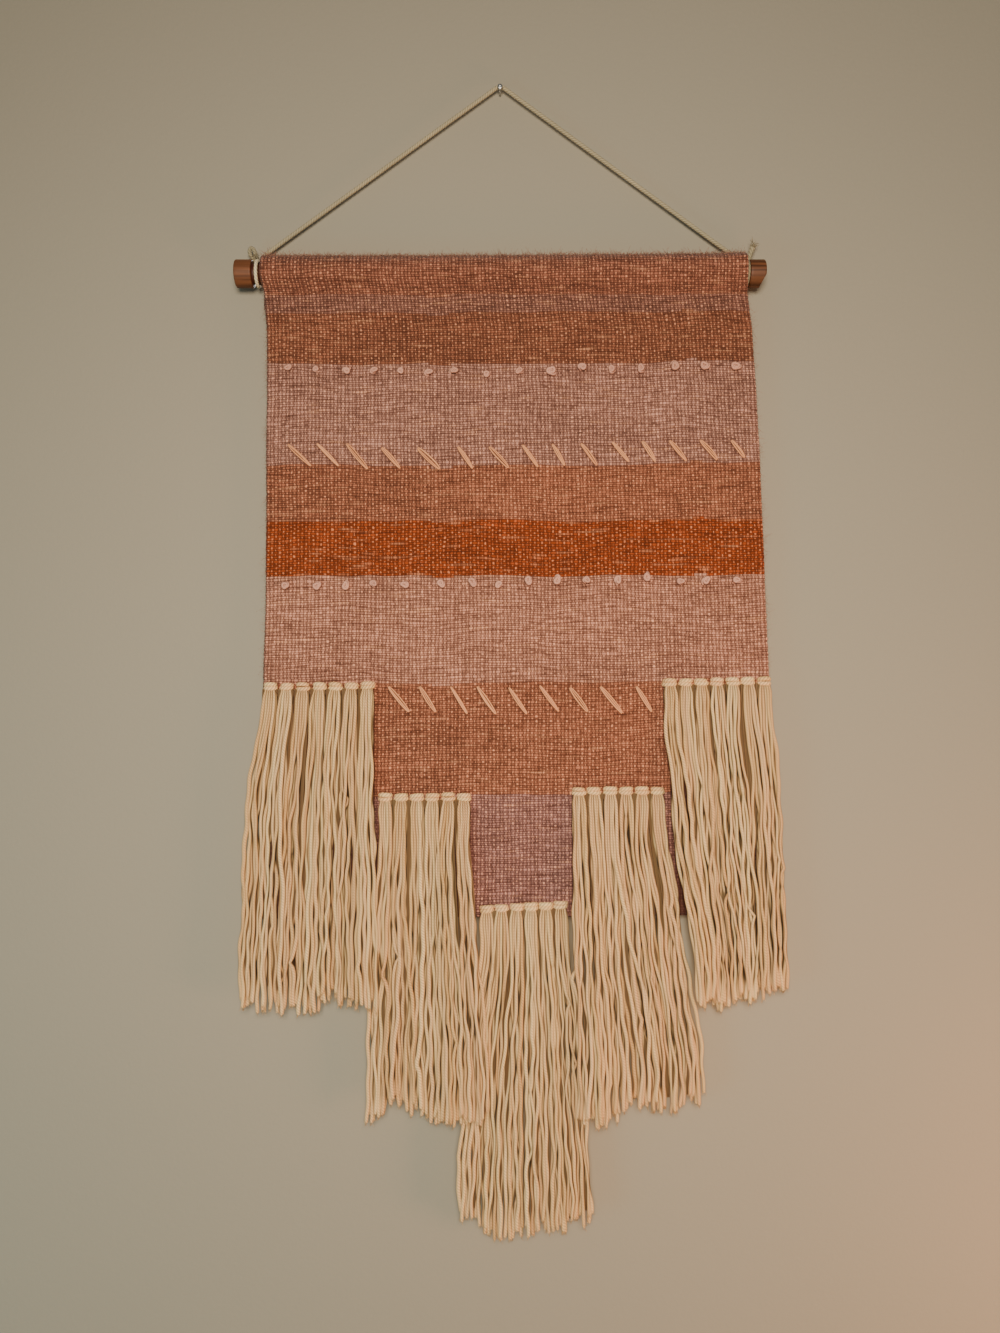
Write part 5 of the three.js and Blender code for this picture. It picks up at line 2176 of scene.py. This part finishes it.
@dataclass
class Haze:
    """Loose wool fibres off the cloth: thick on the pocket's top, thinner at both edges and on the face."""

    top_count: int = 8400
    edge_count: int = 650
    face_count: int = 950
    fibre: float = 0.1
    top_fibre: float = 0.15
    nearest_wall: float = -0.5
    # Heights between which the side edges show fibres, and the face's field of them
    edge_z: Pair = (-566, -172)
    face_x: Pair = (-212, 238)
    face_z: Pair = (-770, -215)
    reach: Pair = (0.8, 4.4)
    stations: int = 3
    seed: int = 77

    def on_top(self, cloth: Cloth, rng: np.random.Generator) -> Fibres:
        """Fibres on the pocket over the rod, which stand up and lean along it, longer in some places.

        Args:
            cloth: the sheet that they come from.
            rng: seeded source of their places and directions.

        Returns:
            The fibres.
        """
        x = rng.uniform(cloth.pocket_left, cloth.pocket_right, self.top_count)
        lean = rng.normal(0, 0.45, self.top_count)
        share = (x - cloth.pocket_left) / (cloth.pocket_right - cloth.pocket_left)
        rise = cloth.loop_radius + 1.0 + 1.6 * ease(0.35, 1.0, share) + 1.2 * ease(0.93, 1.0, share)
        roots = np.stack([x, ROD_Y + rise * np.sin(lean), ROD_Z + rise * np.cos(lean)], axis=1)
        tuft = np.clip(0.5 + ripple(share, rng, 30, (1,)), 0.1, 1.6)
        ways = np.stack([rng.normal(0, 0.9, self.top_count), np.sin(lean), np.cos(lean) * 0.8], axis=1)
        return Fibres(roots, ways, rng.gamma(4.5, 0.5, self.top_count) * blend(0.8, 1.1, tuft))

    def on_edge(self, cloth: Cloth, edge: tuple[float, ...], sign: int, rng: np.random.Generator) -> Fibres:
        """Fibres along one side edge, which stand out sideways.

        Args:
            cloth: the sheet that they come from.
            edge: the side's x at the heights of the sheet's edge_z.
            sign: -1 for the left side and 1 for the right side.
            rng: seeded source of their places and directions.

        Returns:
            The fibres.
        """
        count = self.edge_count
        z = rng.uniform(*self.edge_z, count)
        side = np.interp(z, np.array(cloth.edge_z[::-1]), np.array(edge[::-1]))
        roots = np.stack([side, np.full(count, ROD_Y) + rng.normal(0, 0.7, count), z], axis=1)
        outward = np.full(count, sign * 0.9)
        ways = np.stack([outward, rng.normal(0, 0.4, count), rng.normal(0, 0.7, count)], axis=1)
        return Fibres(roots, ways, rng.gamma(2.0, 1.1, count))

    def on_face(self, rng: np.random.Generator) -> Fibres:
        """Fibres on the face, which lie almost flat on it.

        Args:
            rng: seeded source of their places and directions.

        Returns:
            The fibres.
        """
        count = self.face_count
        x = rng.uniform(*self.face_x, count)
        z = rng.uniform(*self.face_z, count)
        roots = np.stack([x, cloth_face(x, z, Side.FRONT), z], axis=1)
        outward = np.full(count, -0.35)
        ways = np.stack([rng.normal(0, 1.0, count), outward, rng.normal(0, 0.8, count)], axis=1)
        return Fibres(roots, ways, rng.gamma(2.0, 0.9, count))

    def build(self, wool: bpy.types.Material, cloth: Cloth) -> bpy.types.Object:
        """Make all fibres at once.

        A fibre is root + reach * (way * t + curl * t^2), with t from 0 to 1, and none reaches the wall.

        Args:
            wool: the fibres' material.
            cloth: the sheet that they come from.

        Returns:
            The piece with all the fibres.
        """
        rng = np.random.default_rng(self.seed)
        fields = [
            self.on_top(cloth, rng),
            self.on_edge(cloth, cloth.edge_left, -1, rng),
            self.on_edge(cloth, cloth.edge_right, 1, rng),
            self.on_face(rng),
        ]
        root = np.concatenate([field.roots for field in fields])[:, None]
        way = np.concatenate([field.ways for field in fields])[:, None]
        length = np.concatenate([field.lengths for field in fields])
        reach = np.clip(length, *self.reach)[:, None, None]
        t = np.linspace(0, 1, self.stations)[None, :, None]
        curl = rng.normal(0, 0.55, way.shape)
        lines = root + reach * (way * t + curl * t**2)
        # The fibres that the wall stops end at slightly different depths
        limit = self.nearest_wall - 0.01 * rng.uniform(0, 1, lines.shape[:2])
        lines[..., 1] = np.minimum(lines[..., 1], limit)
        girth = np.full((len(lines), 1), self.fibre)
        girth[: self.top_count] = self.top_fibre
        radii = girth * np.linspace(1.1, 0.6, self.stations)
        surface = sweep(lines, radii, 3, (0.31, 0.17, 0.42), tone=rng.uniform(0, 1, len(lines)))
        return make_piece("cloth_fibre_haze", surface, wool, Slot.CLOTH)


def main() -> None:
    """Build the camera, the cord, the rest of the hanging and its room, in that order."""
    logging.basicConfig(level=logging.INFO, format="%(name)s %(message)s")
    LOG.info("frame with %d nodes", len(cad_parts))
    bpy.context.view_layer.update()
    View().build()
    cotton = CORD_COTTON.build()
    hanging_cord = HangingCord()
    cord = hanging_cord.build(cotton)
    turns = [LEFT_TURN.build(cotton), RIGHT_TURN.build(cotton)]
    hanging_cord.declare()
    Rod().build(OiledWood().build())
    Nail().build(DrawnSteel().build())
    fringe = Fringe()
    knots = FrenchKnots()
    stitches = SlantStitches()
    sheet = Cloth()
    cloth = sheet.build(PlainWovenWool().build(), [fringe.cover, knots.press, stitches.press])
    sewing_wool = SEWING_YARN.build()
    on_cloth = [knots.build(KNOT_YARN.build())]
    on_cloth += stitches.build(sewing_wool, knots)
    on_cloth.append(PocketSewing().build(sewing_wool))
    on_cloth += fringe.build(FRINGE_YARN.build())
    on_cloth.append(Haze().build(HAZE_WOOL.build(), sheet))
    Room().build()


if __name__ == "__main__":
    main()
